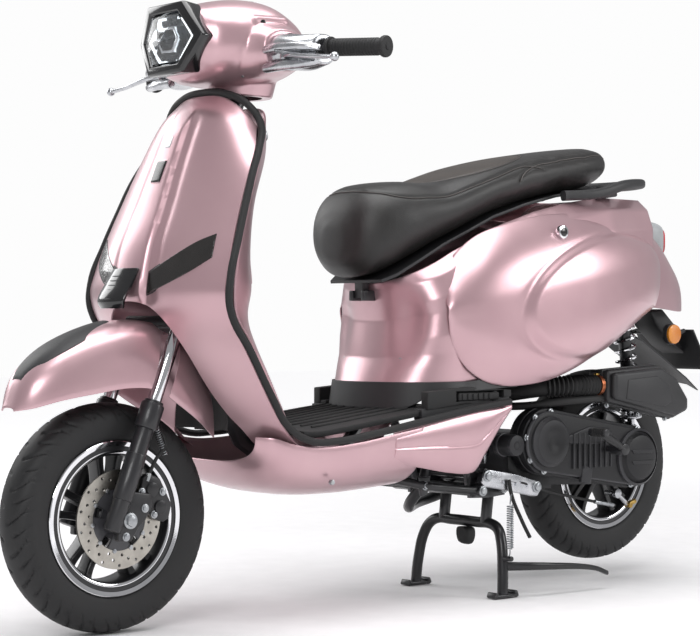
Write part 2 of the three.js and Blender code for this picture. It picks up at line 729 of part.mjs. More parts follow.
function innerShield() {
  const rows = INNER_SHIELD.map(([middleZ, edgeZ, wide, edgeY, bulge]) => {
    const row = [];
    for (let j = -5; j <= 5; j++) {
      const s = j / 5;
      const z = middleZ + (edgeZ - middleZ) * Math.abs(s) ** 3;
      row.push(vec(wide * s, edgeY + 2 * PANEL_GAP + bulge * (1 - Math.abs(s) ** 2.5), z));
    }
    return row;
  });
  part("inner_leg_shield", plate(rows), "paint");
}

function archLiner() {
  const rows = [
    [505, 104, 208], [470, 102, 224], [430, 98, 238], [390, 96, 246], [372, 90, 248],
  ].map(([z, wide, y]) => [-1, -0.5, 0, 0.5, 1].map((s) => vec(-wide * s, y - 34 * s * s, z)));
  part("wheel_arch_liner", cut(plate(rows), columnRoom()), "liner");
}

// Space round the steering column and its head tube.
function columnRoom() {
  return rod(vec(0, ...onSteering(300)), vec(0, ...onSteering(900)), 60, ROUND_SIDES);
}

// Lower fairing sections: [y, half width, top height, keel height].
const HULL = [
  [238, 150, 362, 312],
  [262, 180, 360, 282],
  [300, 190, 348, 258],
  [370, 190, 340, 242],
  [470, 187, 346, 238],
  [560, 183, 358, 241],
  [636, 180, 368, 246],
];

function lowerFairing() {
  const rows = HULL.map(([y, wide, top, keel]) => {
    const row = [];
    for (let j = 0; j <= 10; j++) {
      const angle = (j / 10) * Math.PI;
      const x = wide * Math.sign(Math.cos(angle)) * Math.abs(Math.cos(angle)) ** 0.7;
      row.push(vec(x, y, top - (top - keel) * Math.sin(angle) ** 0.7));
    }
    return row.reverse();
  });
  const side = [[622, 290], [790, 268], [808, 278], [830, 308], [858, 348], [890, 392], [622, 368]];
  const sides = [-1, 1].map((s) => sidePlate(side, s > 0 ? 172 : -175, s > 0 ? 175 : -172));
  part("lower_fairing", join(plate(rows), ...sides), "paint");
}

function floorboard() {
  const rows = [
    [334, 176, 371], [370, 178, 370], [440, 176, 377], [530, 173, 388], [620, 170, 399], [700, 150, 409],
  ].map(([y, wide, z]) => [-1, -0.6, 0, 0.6, 1].map((s) => vec(wide * s, y, z + 5 * (1 - s * s))));
  part("floorboard", join(plate(rows, 12), ...sills()), "rubber");
}

// The raised borders beside the rear of the floor, each with a recess for a folded peg.
function sills() {
  const outline = [[650, 402], [720, 408], [800, 416], [884, 424], [884, 438], [760, 446], [650, 438]];
  return [-1, 1].map((side) => {
    const border = sidePlate(outline, side > 0 ? 158 : -178, side > 0 ? 178 : -158);
    const foot = slab(side > 0 ? [140, 164] : [-164, -140], [652, 700], [398, 412]);
    const recess = slab(side > 0 ? [163, 200] : [-200, -163], [728, 862], [414, 438]);
    return cut(join(border, foot), recess);
  });
}

function pegs() {
  for (const side of [1, -1]) {
    const peg = slab(side > 0 ? [167, 180] : [-180, -167], [736, 850], [418, 434]);
    part(`passenger_peg_${side > 0 ? "left" : "right"}`, peg, "rubber");
  }
}

// ---------------------------------------------------------------- frame

function frame() {
  const head = rod(vec(0, ...onSteering(steerAt(618))), vec(0, ...onSteering(steerAt(968))), 26, ROUND_SIDES);
  const down = tube(
    [[0, 182, 650], [0, 216, 560], [0, 274, 440], [0, 330, 334], [0, 420, 306], [0, 640, 306]], 18, 12, ROD_SIDES,
  );
  const rails = [-1, 1].map((s) => tube([
    [s * 10, 600, 306], [s * 70, 640, 312], [s * 120, 720, 352], [s * 129, 800, 460],
    [s * 129, 1000, 636], [s * 127, 1250, 700], [s * 92, 1336, 703], [s * 44, 1372, 704], [0, 1380, 704],
  ], 13, 18, 6));
  const bore = rod(vec(0, ...onSteering(steerAt(600))), vec(0, ...onSteering(steerAt(990))), boreFor(15, ROUND_SIDES), ROUND_SIDES);
  const cross = rodX(-150, 112, 858, 226, 13);
  const hangers = [-1, 1].map((s) => {
    const outline = [[846, 210], [846, 270], [884, 270], [948, 240], [948, 212], [900, 208]];
    return sidePlate(outline, s > 0 ? 88 : -96, s > 0 ? 96 : -88);
  });
  const webs = [-1, 1].map((s) => rod(vec(s * 82, 856, 238), vec(s * 122, 790, 440), 10));
  const standShaft = rodX(-98, 98, STAND_PIVOT_Y, STAND_PIVOT_Z, PIVOT_RADIUS);
  const swingShaft = rodX(-122, 122, SWING_PIVOT_Y, SWING_PIVOT_Z, PIVOT_RADIUS);
  const shockArm = rod(vec(127, 1262, 698), vec(SHOCK_X + 20, 1335, 612), 9, 10);
  const shockPin = rodX(SHOCK_X - 12, SHOCK_X + 24, 1335, 608, 7);
  const whole = join(head, down, ...rails, cross, ...hangers, ...webs, standShaft, swingShaft, shockArm, shockPin);
  part("frame", cut(whole, bore), "black_metal");
}

// ---------------------------------------------------------------- rear body

// The seat's underside height along Y, which the body's top edge follows.
const SEAT_UNDER = [[540, 712], [560, 676], [592, 652], [640, 664], [700, 696], [760, 728], [830, 758],
  [900, 788], [1000, 818], [1100, 840], [1200, 854], [1290, 872]];
const bodyTop = (y) => Math.min(readOff(SEAT_UNDER, y) - 10, 846);

function underSeatCover() {
  const rows = [0, 0.25, 0.5, 0.75, 1].map((t) => {
    const row = [];
    for (let j = -6; j <= 6; j++) {
      const angle = (j / 6) * (Math.PI / 2);
      const frontY = readOff([[0, 640], [0.4, 650], [0.75, 640], [1, 622]], t);
      const x = readOff([[0, 118], [0.5, 150], [1, 158]], t) * Math.sin(angle);
      const y = 764 - (764 - frontY) * Math.cos(angle) ** 0.8;
      const top = Math.min(bodyTop(y), 740);
      row.push(vec(x, y, top + (452 - top) * t));
    }
    return row.reverse();
  });
  return plate(rows);
}

// Inner side skins: for each y, [x, z] from the top edge down.
const SIDE_SKIN = [
  [770, [124, 716], [150, 690], [166, 640], [168, 560], [160, 474]],
  [900, [124, 776], [160, 745], [182, 680], [186, 590], [176, 500]],
  [1050, [120, 818], [160, 785], [184, 710], [186, 620], [170, 530]],
  [1200, [108, 842], [146, 800], [170, 730], [170, 650], [152, 575]],
  [1330, [96, 846], [126, 812], [142, 745], [142, 680], [126, 615]],
];

// The round side cowl: [y, low edge, high edge, reach from the centre plane].
const COWL = [
  [722, 592, 616, 188],
  [738, 534, 654, 194],
  [768, 490, 702, 200],
  [822, 453, 752, 207],
  [900, 446, 780, 213],
  [1000, 460, 800, 216],
  [1110, 498, 806, 213],
  [1212, 545, 800, 200],
  [1320, 592, 786, 174],
  [1396, 612, 770, 144],
];

function rearBody() {
  const rows = SIDE_SKIN.map(([y, ...points]) => points.map(([x, z]) => vec(x, y, z)));
  const sides = [rows, mirrorRows(rows)].map((side) => plate(side));
  const seams = [-1, 1].map((s) => slab(s > 0 ? [146, 158] : [-158, -146], [752, 774], [480, 690]));
  part("rear_body", join(underSeatCover(), ...sides, ...seams, seatHinge()), "paint");
}

function sideCowls() {
  const cowlRows = COWL.map(([y, low, high, reach]) => {
    return [0, 0.15, 0.35, 0.6, 0.85, 1].map((t) => {
      const inset = 20 * Math.abs(2 * t - 1) ** 3 + (t > 0.5 ? 26 * (t - 0.5) : 0);
      return vec(reach - inset, y, high + (low - high) * (1 - t));
    }).reverse();
  });
  for (const side of [1, -1]) {
    const name = side > 0 ? "left" : "right";
    part(`side_cowl_${name}`, plate(side > 0 ? cowlRows : mirrorRows(cowlRows)), "paint");
  }
}

// Tail sections: [y, crown height, low edge height, half width].
const TAIL = [
  [1334, 845, 608, 120],
  [1400, 808, 608, 112],
  [1460, 776, 604, 98],
  [1515, 726, 600, 80],
  [1548, 694, 606, 60],
  [1574, 656, 622, 36],
];

function tail() {
  const rows = TAIL.map(([y, top, low, wide]) => {
    const row = [];
    for (let j = 0; j <= 8; j++) {
      const angle = (j / 8) * Math.PI;
      const x = wide * Math.sign(Math.cos(angle)) * Math.abs(Math.cos(angle)) ** 0.7;
      row.push(vec(x, y, low + (top - low) * Math.sin(angle) ** 0.7));
    }
    return row;
  });
  const pocket = slab([-57, 57], [1396, 1560], [717, 830]);
  part("tail_cover", cut(plate(rows), pocket), "paint");
  part("tail_light", loftY([[1400, 764, 50, 38, 4], [1496, 764, 54, 42, 4], [1512, 762, 46, 36, 4]], ROUND_SIDES), "red");
}

function grabRail() {
  const half = [[120, 1096, 846], [140, 1180, 853], [142, 1262, 874], [112, 1344, 882], [50, 1384, 883]];
  const path = [...half.map(([x, y, z]) => [-x, y, z]), [0, 1390, 883], ...half.reverse()];
  const rail = tube(path, 10, 24, 8);
  part("grab_rail", rail, "black_plastic");
}

function bucket() {
  const wall = [[694, 574, 108, 104, 6], [1076, 574, 108, 104, 6]];
  const outer = loftY(wall, 24);
  const inner = loftY([[697, 590, 105, 117, 6], [1073, 590, 105, 117, 6]], 24);
  part("storage_bucket", cut(outer, inner, slab([-120, 120], [680, 1090], [672, 720])), "black_plastic");
}

function fuelTank() {
  const tank = loftY([[1092, 696, 88, 48, 4], [1110, 694, 104, 60, 4], [1254, 694, 104, 54, 4], [1268, 694, 88, 44, 4]]);
  const cap = rod(vec(0, 1180, 740), vec(0, 1180, 778), 30, ROUND_SIDES);
  part("fuel_tank", join(tank, cap), "black_metal");
}

function rearMudguard() {
  const rows = [
    [1120, 520], [1180, 560], [1260, 577], [1340, 577], [1420, 552], [1490, 512], [1570, 466], [1612, 436],
  ].map(([y, z]) => [-1, -0.5, 0, 0.5, 1].map((s) => vec(64 * s, y, z - 18 * s * s)));
  const shockRoom = slab([SHOCK_X - 32, 80], [1290, 1400], [500, 620]);
  part("rear_mudguard", cut(plate(rows), shockRoom), "black_plastic");
}

function numberPlate() {
  const rows = [0, 1].map((t) => [-1, 0, 1].map((s) => vec(88 * s, 1566 + 56 * t, 556 - 88 * t)));
  part("plate_bracket", plate(rows, 4), "black_plastic");
  const reflectors = [-74, 74].map((x) => {
    const stalk = rod(vec(x, 1515, 548), vec(x, 1552, 548), 5, 10);
    const dish = rodX(x - 9, x + 9, 1505, 548, 24, ROUND_SIDES);
    return join(stalk, dish);
  });
  part("side_reflectors", join(rodX(-70, 70, 1540, 548, 4, 10), ...reflectors), "amber");
}

// ---------------------------------------------------------------- seat

const SEAT = [
  [552, 0, 775, 40], [566, 0, 812, 84], [592, 0, 846, 112], [640, 0, 857, 128], [700, 0, 862, 136],
  [760, 0, 862, 140], [830, 0, 884, 141], [900, 0, 903, 139], [1000, 0, 925, 134], [1100, 0, 941, 127],
  [1200, 0, 954, 116], [1256, 0, 957, 98], [1282, 0, 944, 74],
];
const SEAT_BASE_DEPTH = 10;

function seat() {
  const stations = SEAT.map(([y, , top, wide]) => {
    const under = readOff(SEAT_UNDER, y) + SEAT_BASE_DEPTH + SEAT_GAP;
    return [y, (top + under) / 2, wide, (top - under) / 2, 2.8];
  });
  part("seat_cushion", loftY(stations, ROUND_SIDES), "vinyl");
  const rows = SEAT.slice(2, -1).map(([y, , , wide]) => {
    return [-1, -0.5, 0, 0.5, 1].map((s) => vec((wide - 26) * s, y, readOff(SEAT_UNDER, y) + SEAT_BASE_DEPTH));
  });
  const ear = slab([-12, 12], [SEAT_HINGE_Y - 8, SEAT_HINGE_Y + 8], [SEAT_HINGE_Z - 8, 664]);
  const bore = rodX(-30, 30, SEAT_HINGE_Y, SEAT_HINGE_Z, boreFor(4));
  part("seat_base", cut(join(plate(rows, 6), ear), bore), "black_plastic");
}

// The pin and cheeks at the front of the body that the seat tips on.
function seatHinge() {
  const pin = rodX(-20, 20, SEAT_HINGE_Y, SEAT_HINGE_Z, 4);
  const cheeks = [-1, 1].map((s) => {
    const [x0, x1] = s > 0 ? [13, 24] : [-24, -13];
    return slab([x0, x1], [SEAT_HINGE_Y - 14, SEAT_HINGE_Y + 40], [SEAT_HINGE_Z - 14, SEAT_HINGE_Z + 7]);
  });
  return join(pin, ...cheeks);
}

// ---------------------------------------------------------------- engine

const CVT_FRONT = [1032, 323, 70];
const CVT_REAR = [1306, 279, 68];

// A belt-case outline round a front and a rear circle.
function caseOutline(inset) {
  const [y0, z0, r0] = CVT_FRONT;
  const [y1, z1, r1] = CVT_REAR;
  const lean = Math.atan2(z1 - z0, y1 - y0);
  const points = [];
  for (let i = 0; i <= 10; i++) {
    const angle = lean + Math.PI / 2 + (i / 10) * Math.PI;
    points.push([y0 + (r0 - inset) * Math.cos(angle), z0 + (r0 - inset) * Math.sin(angle)]);
  }
  for (let i = 0; i <= 10; i++) {
    const angle = lean - Math.PI / 2 + (i / 10) * Math.PI;
    points.push([y1 + (r1 - inset) * Math.cos(angle), z1 + (r1 - inset) * Math.sin(angle)]);
  }
  return points;
}

function engine() {
  const block = slab([-78, 92], [962, 1092], [218, 340]);
  const gearbox = sidePlate([[1080, 226], [1080, 340], [1340, 330], [1384, 290], [1384, 236], [1340, 214]], 55, 92);
  const shockEar = sidePlate([[1352, 320], [1352, 346], [1372, 352], [1392, 338], [1384, 280]], 55, 66);
  const arms = [-1, 1].map((s) => {
    const outline = [[856, 242], [872, 272], [1010, 244], [1034, 222], [1020, 204], [1000, 210]];
    return sidePlate(outline, s > 0 ? 102 : -114, s > 0 ? 114 : -102);
  });
  const bolt = rodX(-116, 116, 1018, 226, 7, 12);
  const lowBlock = slab([-60, 60], [1000, 1050], [214, 240]);
  const bore = rodX(-130, 130, SWING_PIVOT_Y, SWING_PIVOT_Z, boreFor(PIVOT_RADIUS));
  const starter = rodX(85, 140, 940, 318, 22, ROUND_SIDES);
  const starterFoot = slab([70, 92], [940, 970], [300, 336]);
  const whole = cut(join(block, gearbox, shockEar, bolt, lowBlock, starter, starterFoot, ...arms), bore);
  part("crankcase", join(whole, rearAxle()), "black_metal");

  const cover = sidePlate(caseOutline(0), 92.5, 146);
  const bulge = rodX(140, 162, CVT_FRONT[0], CVT_FRONT[1], 50, 28);
  const cap = rodX(140, 164, CVT_REAR[0], CVT_REAR[1], 60, 28);
  const kickHole = rodX(110, 180, KICK_Y, KICK_Z, boreFor(PIVOT_RADIUS));
  const spring = slab([90, 100], [1000, 1030], [214, 240]);
  const armRoom = sidePlate([[990, 180], [990, 256], [1046, 252], [1046, 180]], 90, 120);
  part("belt_case_cover", cut(join(cover, bulge, cap), kickHole, spring, armRoom), "black_metal");

  const fins = [];
  for (let i = 0; i < 6; i++) fins.push(slab([-56, 50], [842 + 18 * i, 850 + 18 * i], [276, 372]));
  const barrel = slab([-40, 34], [800, 961.5], [290, 358]);
  part("cylinder", join(barrel, ...fins, carburettor()), "cast");
}

const KICK_Y = 1208;
const KICK_Z = 302;

function kickLever() {
  const shaft = rodX(120, 198, KICK_Y, KICK_Z, PIVOT_RADIUS);
  const arm = rod(vec(194, KICK_Y, KICK_Z), vec(196, 1110, 342), 7.5, 12);
  const pedal = rodX(192, 240, 1106, 343, 9, 12);
  part("kick_lever", join(shaft, arm, pedal), "black_metal");
}

function intake() {
  const box = [[1188, 404], [1188, 472], [1350, 481], [1400, 457], [1442, 408], [1442, 376], [1402, 362]];
  part("air_filter_box", sidePlate(box, 106, 184), "black_plastic");
  part("intake_duct", tube([[146, 1187.4, 440], [144, 1100, 440], [110, 1040, 436], [54, 1006, 426], [20, 1000.5, 420]], 21, 12, ROUND_SIDES), "rubber");
}

function carburettor() {
  return join(slab([-24, 15], [930, 999.5], [392, 448]), rod(vec(0, 905, 352), vec(0, 950, 400), 15, 12));
}

function exhaust() {
  const pipe = tube([[-8, 822, 272], [-16, 815, 236], [-60, 818, 188], [-120, 900, 184], [-134, 1010, 206], [-134, 1108, 246]], 12, 16, 8);
  const can = [[1100, 262, 34, 36, 2.6], [1130, 268, 44, 50, 2.6], [1400, 306, 46, 54, 2.6], [1440, 312, 36, 42, 2.6]];
  const bodyOfCan = loftY(can, ROUND_SIDES).translate(-136, 0, 0);
  part("exhaust", join(pipe, bodyOfCan, slab([-110, -78.4], [1060, 1180], [284, 300])), "black_metal");
}

function rearAxle() {
  const shaft = rodX(-54, 90, WHEELBASE, REAR_AXLE_Z, AXLE_RADIUS);
  return join(shaft, rodX(-54, -RIM_HALF_WIDTH - 1, WHEELBASE, REAR_AXLE_Z, 14, 6));
}

const CAM_Y = 1292;
const CAM_Z = 196;

function rearBrake() {
  const arm = join(rodX(96, 106, CAM_Y, CAM_Z, 11), rod(vec(101, CAM_Y, CAM_Z), vec(101, 1330, 168), 5, 10));
  const shaft = rodX(70, 104, CAM_Y, CAM_Z, 6, 12);
  part("rear_brake_arm", join(arm, shaft), "cast");
}

function rearShock() {
  const eye = rodX(SHOCK_X - 10, SHOCK_X + 10, 1335, 608, 15);
  const lean = shockLean();
  const top = vec(SHOCK_X, 1335, 608);
  const at = (d) => top.clone().addScaledVector(lean, d);
  const body = cut(
    join(eye, rod(at(10), at(140), 18, ROUND_SIDES)),
    rod(at(30), at(150), boreFor(9)),
    rodX(SHOCK_X - 20, SHOCK_X + 20, 1335, 608, boreFor(7)),
  );
  part("shock_upper", body, "black_metal");
  const low = SHOCK_LENGTH;
  const seatCup = rod(at(low - 34), at(low - 26), 24, ROUND_SIDES);
  const lowEye = rodX(SHOCK_X - 8, SHOCK_X + 8, at(low).y, at(low).z, 13);
  const shaft = rod(at(110), at(low - 6), 9);
  const lowerHole = rodX(SHOCK_X - 20, SHOCK_X + 20, at(low).y, at(low).z, 6);
  part("shock_lower", cut(join(seatCup, lowEye, shaft), lowerHole), "cast");
  const outer = rod(at(28), at(low - 34.5), SHOCK_SPRING_RADIUS, ROUND_SIDES);
  part("shock_spring", cut(outer, rod(at(20), at(low), 18.6, ROUND_SIDES)), "steel");
}

const SHOCK_LENGTH = 276;

// The shock's direction from its top eye towards the engine.
function shockLean() {
  return vec(0, 34, -274).normalize();
}

// ---------------------------------------------------------------- centre stand

function centreStand() {
  const sleeve = [-1, 1].map((s) => rodX(s > 0 ? 44 : -84, s > 0 ? 84 : -44, STAND_PIVOT_Y, STAND_PIVOT_Z, 14, ROUND_SIDES));
  const drops = [-1, 1].map((s) => rod(vec(s * 64, STAND_PIVOT_Y, STAND_PIVOT_Z), vec(s * 64, 923, 150), 10, 12));
  const legs = tube([
    [-STAND_HALF_WIDTH, STAND_FOOT_Y, 8], [-130, 909, 60], [-118, 916, 118], [-88, 922, 148], [-40, 923, 151],
    [40, 923, 151], [88, 922, 148], [118, 916, 118], [130, 909, 60], [STAND_HALF_WIDTH, STAND_FOOT_Y, 8],
  ], 12, 26, 8);
  const feet = [-1, 1].map((s) => {
    const x = s * STAND_HALF_WIDTH;
    return slab([x - 16, x + 16], [STAND_FOOT_Y - 32, STAND_FOOT_Y + 34], [0, 14]);
  });
  const bore = rodX(-120, 120, STAND_PIVOT_Y, STAND_PIVOT_Z, boreFor(PIVOT_RADIUS));
  const lever = tube([[130, 909, 66], [156, 940, 66], [169, 1000, 62], [171, 1090, 54], [170, 1176, 38]], 7, 9);
  part("centre_stand", cut(join(...sleeve, ...drops, legs, ...feet, lever), bore), "black_metal");
  part("stand_spring", rod(vec(152, 908, 88), vec(152, 908, 206), 6, 12), "steel");
}

// ---------------------------------------------------------------- assembly

const FRONT_AXLE_V = FRONT_AXLE_Z * Math.cos(RAKE) - STEER_GROUND_Y * Math.sin(RAKE);

wheel("front", 0, FRONT_AXLE_Z);
wheel("rear", WHEELBASE, REAR_AXLE_Z);
brakeDisc();
forkLowers();
forkUpper();
caliper();
handlebar();
grips();
switchHousings();
brakeLevers();
buttons();
headset();
speedometer();
headlight();
fender();
edgeTrim();
legShield();
hornCover();
signals();
innerShield();
archLiner();
lowerFairing();
floorboard();
pegs();
frame();
rearBody();
sideCowls();
tail();
grabRail();
bucket();
fuelTank();
rearMudguard();
numberPlate();
seat();
engine();
kickLever();
intake();
exhaust();
rearBrake();
rearShock();
centreStand();

scooter.position.y = -MIDDLE_Y;

export default scooter;
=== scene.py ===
"""Display model of a moped scooter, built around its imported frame.

Lengths are millimetres in the tables, with X to the rider's left, Y rearward from the front
axle and Z up from the ground. `at` turns them into the scooter's own frame in metres.
"""

from __future__ import annotations

import logging
import math
from collections.abc import Sequence
from dataclasses import dataclass
from enum import Enum

import bpy
import numpy as np
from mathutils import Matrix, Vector
from mathutils.bvhtree import BVHTree


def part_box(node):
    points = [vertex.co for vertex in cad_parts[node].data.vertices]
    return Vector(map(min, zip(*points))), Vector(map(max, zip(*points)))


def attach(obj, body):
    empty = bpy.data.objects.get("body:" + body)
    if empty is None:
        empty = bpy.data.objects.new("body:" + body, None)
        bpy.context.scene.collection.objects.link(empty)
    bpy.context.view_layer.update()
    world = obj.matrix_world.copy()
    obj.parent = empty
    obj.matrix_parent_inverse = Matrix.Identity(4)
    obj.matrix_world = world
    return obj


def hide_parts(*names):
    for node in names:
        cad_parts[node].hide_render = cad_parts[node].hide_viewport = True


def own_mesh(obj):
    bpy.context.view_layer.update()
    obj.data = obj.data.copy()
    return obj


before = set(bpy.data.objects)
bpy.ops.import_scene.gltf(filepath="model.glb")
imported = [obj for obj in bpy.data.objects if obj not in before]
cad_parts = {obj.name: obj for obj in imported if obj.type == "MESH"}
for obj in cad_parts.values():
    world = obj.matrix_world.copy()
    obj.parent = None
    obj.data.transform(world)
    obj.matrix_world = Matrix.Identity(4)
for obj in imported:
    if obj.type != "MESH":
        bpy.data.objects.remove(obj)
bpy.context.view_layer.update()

LOG = logging.getLogger("scooter")
MM = 0.001
FRONT_AXLE_Y = -0.7055
RAKE = math.radians(22.0)
STEER_GROUND_Y = -95.0
SIDES = (1, -1)
Row = Sequence[float]
Piece = bpy.types.Object


def at(x: float, y: float, z: float) -> Vector:
    """Turns millimetres counted from the front axle into metres in the scooter's frame.

    Args:
        x: Distance to the rider's left of the middle plane.
        y: Distance behind the front axle.
        z: Height above the ground.

    Returns:
        The place in metres.
    """
    return Vector((x * MM, y * MM + FRONT_AXLE_Y, z * MM))


def on_steering(height: float, back: float = 0.0) -> tuple[float, float]:
    """Finds a place measured along the raked steering line.

    Args:
        height: Distance up the steering line from the ground.
        back: Distance behind the line.

    Returns:
        Its y and z in millimetres.
    """
    y = STEER_GROUND_Y + height * math.sin(RAKE) + back * math.cos(RAKE)
    return y, height * math.cos(RAKE) - back * math.sin(RAKE)


def linear(colour: str) -> tuple[float, float, float, float]:
    """Turns an sRGB hex colour into linear values.

    Args:
        colour: Six hex digits.

    Returns:
        Red, green, blue and full alpha.
    """
    parts = [int(colour[i : i + 2], 16) / 255 for i in (0, 2, 4)]
    low = 0.04045
    red, green, blue = (p / 12.92 if p <= low else ((p + 0.055) / 1.055) ** 2.4 for p in parts)
    return red, green, blue, 1.0


def smooth_rows(table: Sequence, count: int) -> np.ndarray:
    """Runs a smooth curve through each column of a table.

    Args:
        table: Rows of numbers or of points.
        count: How many rows are wanted.

    Returns:
        The rows along the curve.
    """
    rows = np.asarray(table, dtype=float)
    flat = rows.reshape(len(rows), -1)
    steps = np.maximum(np.linalg.norm(np.diff(flat, axis=0), axis=1), 1e-6)
    places = np.concatenate([[0.0], np.cumsum(steps)])
    slopes = np.empty_like(flat)
    slopes[1:-1] = (flat[2:] - flat[:-2]) / (places[2:] - places[:-2])[:, None]
    slopes[0] = (flat[1] - flat[0]) / steps[0]
    slopes[-1] = (flat[-1] - flat[-2]) / steps[-1]
    wanted = np.linspace(0.0, places[-1], count)
    cell = np.clip(np.searchsorted(places, wanted, side="right") - 1, 0, len(rows) - 2)
    width = steps[cell][:, None]
    t = (wanted - places[cell])[:, None] / width
    start, end = flat[cell], flat[cell + 1]
    blend = t * t * (3 - 2 * t)
    out = start + (end - start) * blend
    out += width * t * (1 - t) * ((1 - t) * slopes[cell] - t * slopes[cell + 1])
    return out.reshape((count,) + rows.shape[1:])


def read_off(table: Sequence[Row], place: float) -> float:
    """Reads a value off a short table of place and value."""
    return float(np.interp(place, [row[0] for row in table], [row[1] for row in table]))


def step(low: float, high: float, value: np.ndarray | float) -> np.ndarray | float:
    """Rises smoothly from 0 at low to 1 at high."""
    t = np.clip((value - low) / (high - low), 0.0, 1.0)
    return t * t * (3 - 2 * t)


# ------------------------------------------------------------------ finishes


class Grain(Enum):
    """How a surface's fine relief is laid."""

    FLAKE = "flake"
    MOULDED = "moulded"
    HIDE = "hide"
    BRUSHED = "brushed"
    SANDED = "sanded"
    PRISM = "prism"


def add_node(
    material: bpy.types.Material | bpy.types.World, kind: str, links: dict | None = None,
    **settings: object,
) -> bpy.types.Node:
    """Adds a shader node with its settings and links.

    Args:
        material: The material or surround that gets it.
        kind: The node's type.
        links: Input name or number to a value or to the socket that feeds it.
        settings: Attributes of the node.

    Returns:
        The new node.
    """
    node = material.node_tree.nodes.new(kind)
    for name, value in settings.items():
        setattr(node, name, value)
    for socket, source in (links or {}).items():
        if isinstance(source, bpy.types.NodeSocket):
            material.node_tree.links.new(source, node.inputs[socket])
        else:
            node.inputs[socket].default_value = source
    return node


@dataclass(frozen=True)
class Finish:
    """A real material and the way its surface was made.

    Its slot names the record's material slot for its pieces; nothing in the script reads it.
    """

    slot: str
    name: str
    colour: str
    shade: str
    roughness: float
    spread: float = 0.06
    metallic: float = 0.0
    ior: float = 1.5
    coat: float = 0.0
    coat_roughness: float = 0.1
    grain: Grain = Grain.MOULDED
    grain_mm: float = 0.8
    relief: float = 0.15
    patch_mm: float = 60.0
    clear: float = 0.0
    glow: float = 0.0
    edge: str | None = None

    def material(self) -> bpy.types.Material:
        """Finds this finish's material, and makes it the first time.

        Returns:
            The material.
        """
        made = bpy.data.materials.get(self.name)
        return made if made else self._make()

    def _make(self) -> bpy.types.Material:
        """Builds the node tree.

        Returns:
            The new material.
        """
        material = bpy.data.materials.new(self.name)
        material.use_nodes = True
        shader = material.node_tree.nodes["Principled BSDF"]
        place = add_node(material, "ShaderNodeTexCoord").outputs["Object"]
        patches = self._noise(material, place, self.patch_mm, 3.0)
        colour = add_node(material, "ShaderNodeValToRGB", {0: patches})
        colour.color_ramp.elements[0].position = 0.32
        colour.color_ramp.elements[1].position = 0.68
        colour.color_ramp.elements[0].color = linear(self.shade)
        colour.color_ramp.elements[1].color = linear(self.colour)
        rough = add_node(
            material,
            "ShaderNodeMapRange",
            {0: patches, 3: self.roughness - self.spread, 4: self.roughness + self.spread},
        )
        tone = self._worn(material, colour.outputs[0])
        tree = material.node_tree
        tree.links.new(tone, shader.inputs["Base Color"])
        tree.links.new(rough.outputs[0], shader.inputs["Roughness"])
        tree.links.new(self._relief(material, place), shader.inputs["Normal"])
        shader.inputs["Metallic"].default_value = self.metallic
        shader.inputs["IOR"].default_value = self.ior
        shader.inputs["Coat Weight"].default_value = self.coat
        shader.inputs["Coat Roughness"].default_value = self.coat_roughness
        shader.inputs["Transmission Weight"].default_value = self.clear
        if self.glow:
            shader.inputs["Emission Color"].default_value = linear(self.colour)
            shader.inputs["Emission Strength"].default_value = self.glow
        return material

    def _noise(
        self, material: bpy.types.Material, place: bpy.types.NodeSocket, size_mm: float,
        detail: float,
    ) -> bpy.types.NodeSocket:
        """Adds a cloud pattern whose lumps are about a stated size.

        Args:
            material: The material that gets it.
            place: The socket that gives the place in metres.
            size_mm: The size of a lump.
            detail: How many finer levels lie on it.

        Returns:
            The pattern's value.
        """
        scale = 1.0 / (size_mm * MM)
        node = add_node(
            material, "ShaderNodeTexNoise", {"Vector": place, "Scale": scale, "Detail": detail}
        )
        return node.outputs[0]

    def _worn(
        self, material: bpy.types.Material, tone: bpy.types.NodeSocket
    ) -> bpy.types.NodeSocket:
        """Lightens the exposed edges of a surface that rubs bare.

        Args:
            material: The material that gets it.
            tone: The surface's own colour.

        Returns:
            The colour with its edges.
        """
        if not self.edge:
            return tone
        sharp = add_node(material, "ShaderNodeNewGeometry").outputs["Pointiness"]
        worn = add_node(material, "ShaderNodeMapRange", {0: sharp, 1: 0.53, 2: 0.62, 4: 0.45})
        mixed = add_node(
            material, "ShaderNodeMix", {0: worn.outputs[0], 6: tone, 7: linear(self.edge)},
            data_type="RGBA",
        )
        return mixed.outputs[2]

    def _relief(
        self, material: bpy.types.Material, place: bpy.types.NodeSocket
    ) -> bpy.types.NodeSocket:
        """Adds the fine relief that the making left.

        Args:
            material: The material that gets it.
            place: The socket that gives the place in metres.

        Returns:
            The bumped normal.
        """
        scale = 1.0 / (self.grain_mm * MM)
        if self.grain in (Grain.HIDE, Grain.PRISM, Grain.FLAKE):
            feature = "F1" if self.grain is Grain.FLAKE else "DISTANCE_TO_EDGE"
            cells = add_node(
                material, "ShaderNodeTexVoronoi", {"Vector": place, "Scale": scale}, feature=feature
            )
            height = cells.outputs["Distance"]
        elif self.grain is Grain.BRUSHED:
            drawn = add_node(
                material, "ShaderNodeMapping", {"Vector": place, "Scale": (1.0, 1.0, 0.06)}
            )
            height = self._noise(material, drawn.outputs[0], self.grain_mm, 2.0)
        else:
            height = self._noise(material, place, self.grain_mm, 4.0)
        bump = add_node(
            material,
            "ShaderNodeBump",
            {"Height": height, "Strength": self.relief, "Distance": self.grain_mm * MM * 0.5},
        )
        return bump.outputs[0]


# Two-stage metallic lacquer sprayed on ABS: a soft pearly base under a satin clear coat.
ROSE_LACQUER = Finish(
    "paint", "rose_metallic_lacquer", "c7a5ab", "bf9ca3", 0.31, 0.03, metallic=0.72, coat=0.35,
    coat_roughness=0.16, grain=Grain.FLAKE, grain_mm=0.5, relief=0.04, patch_mm=160.0,
)
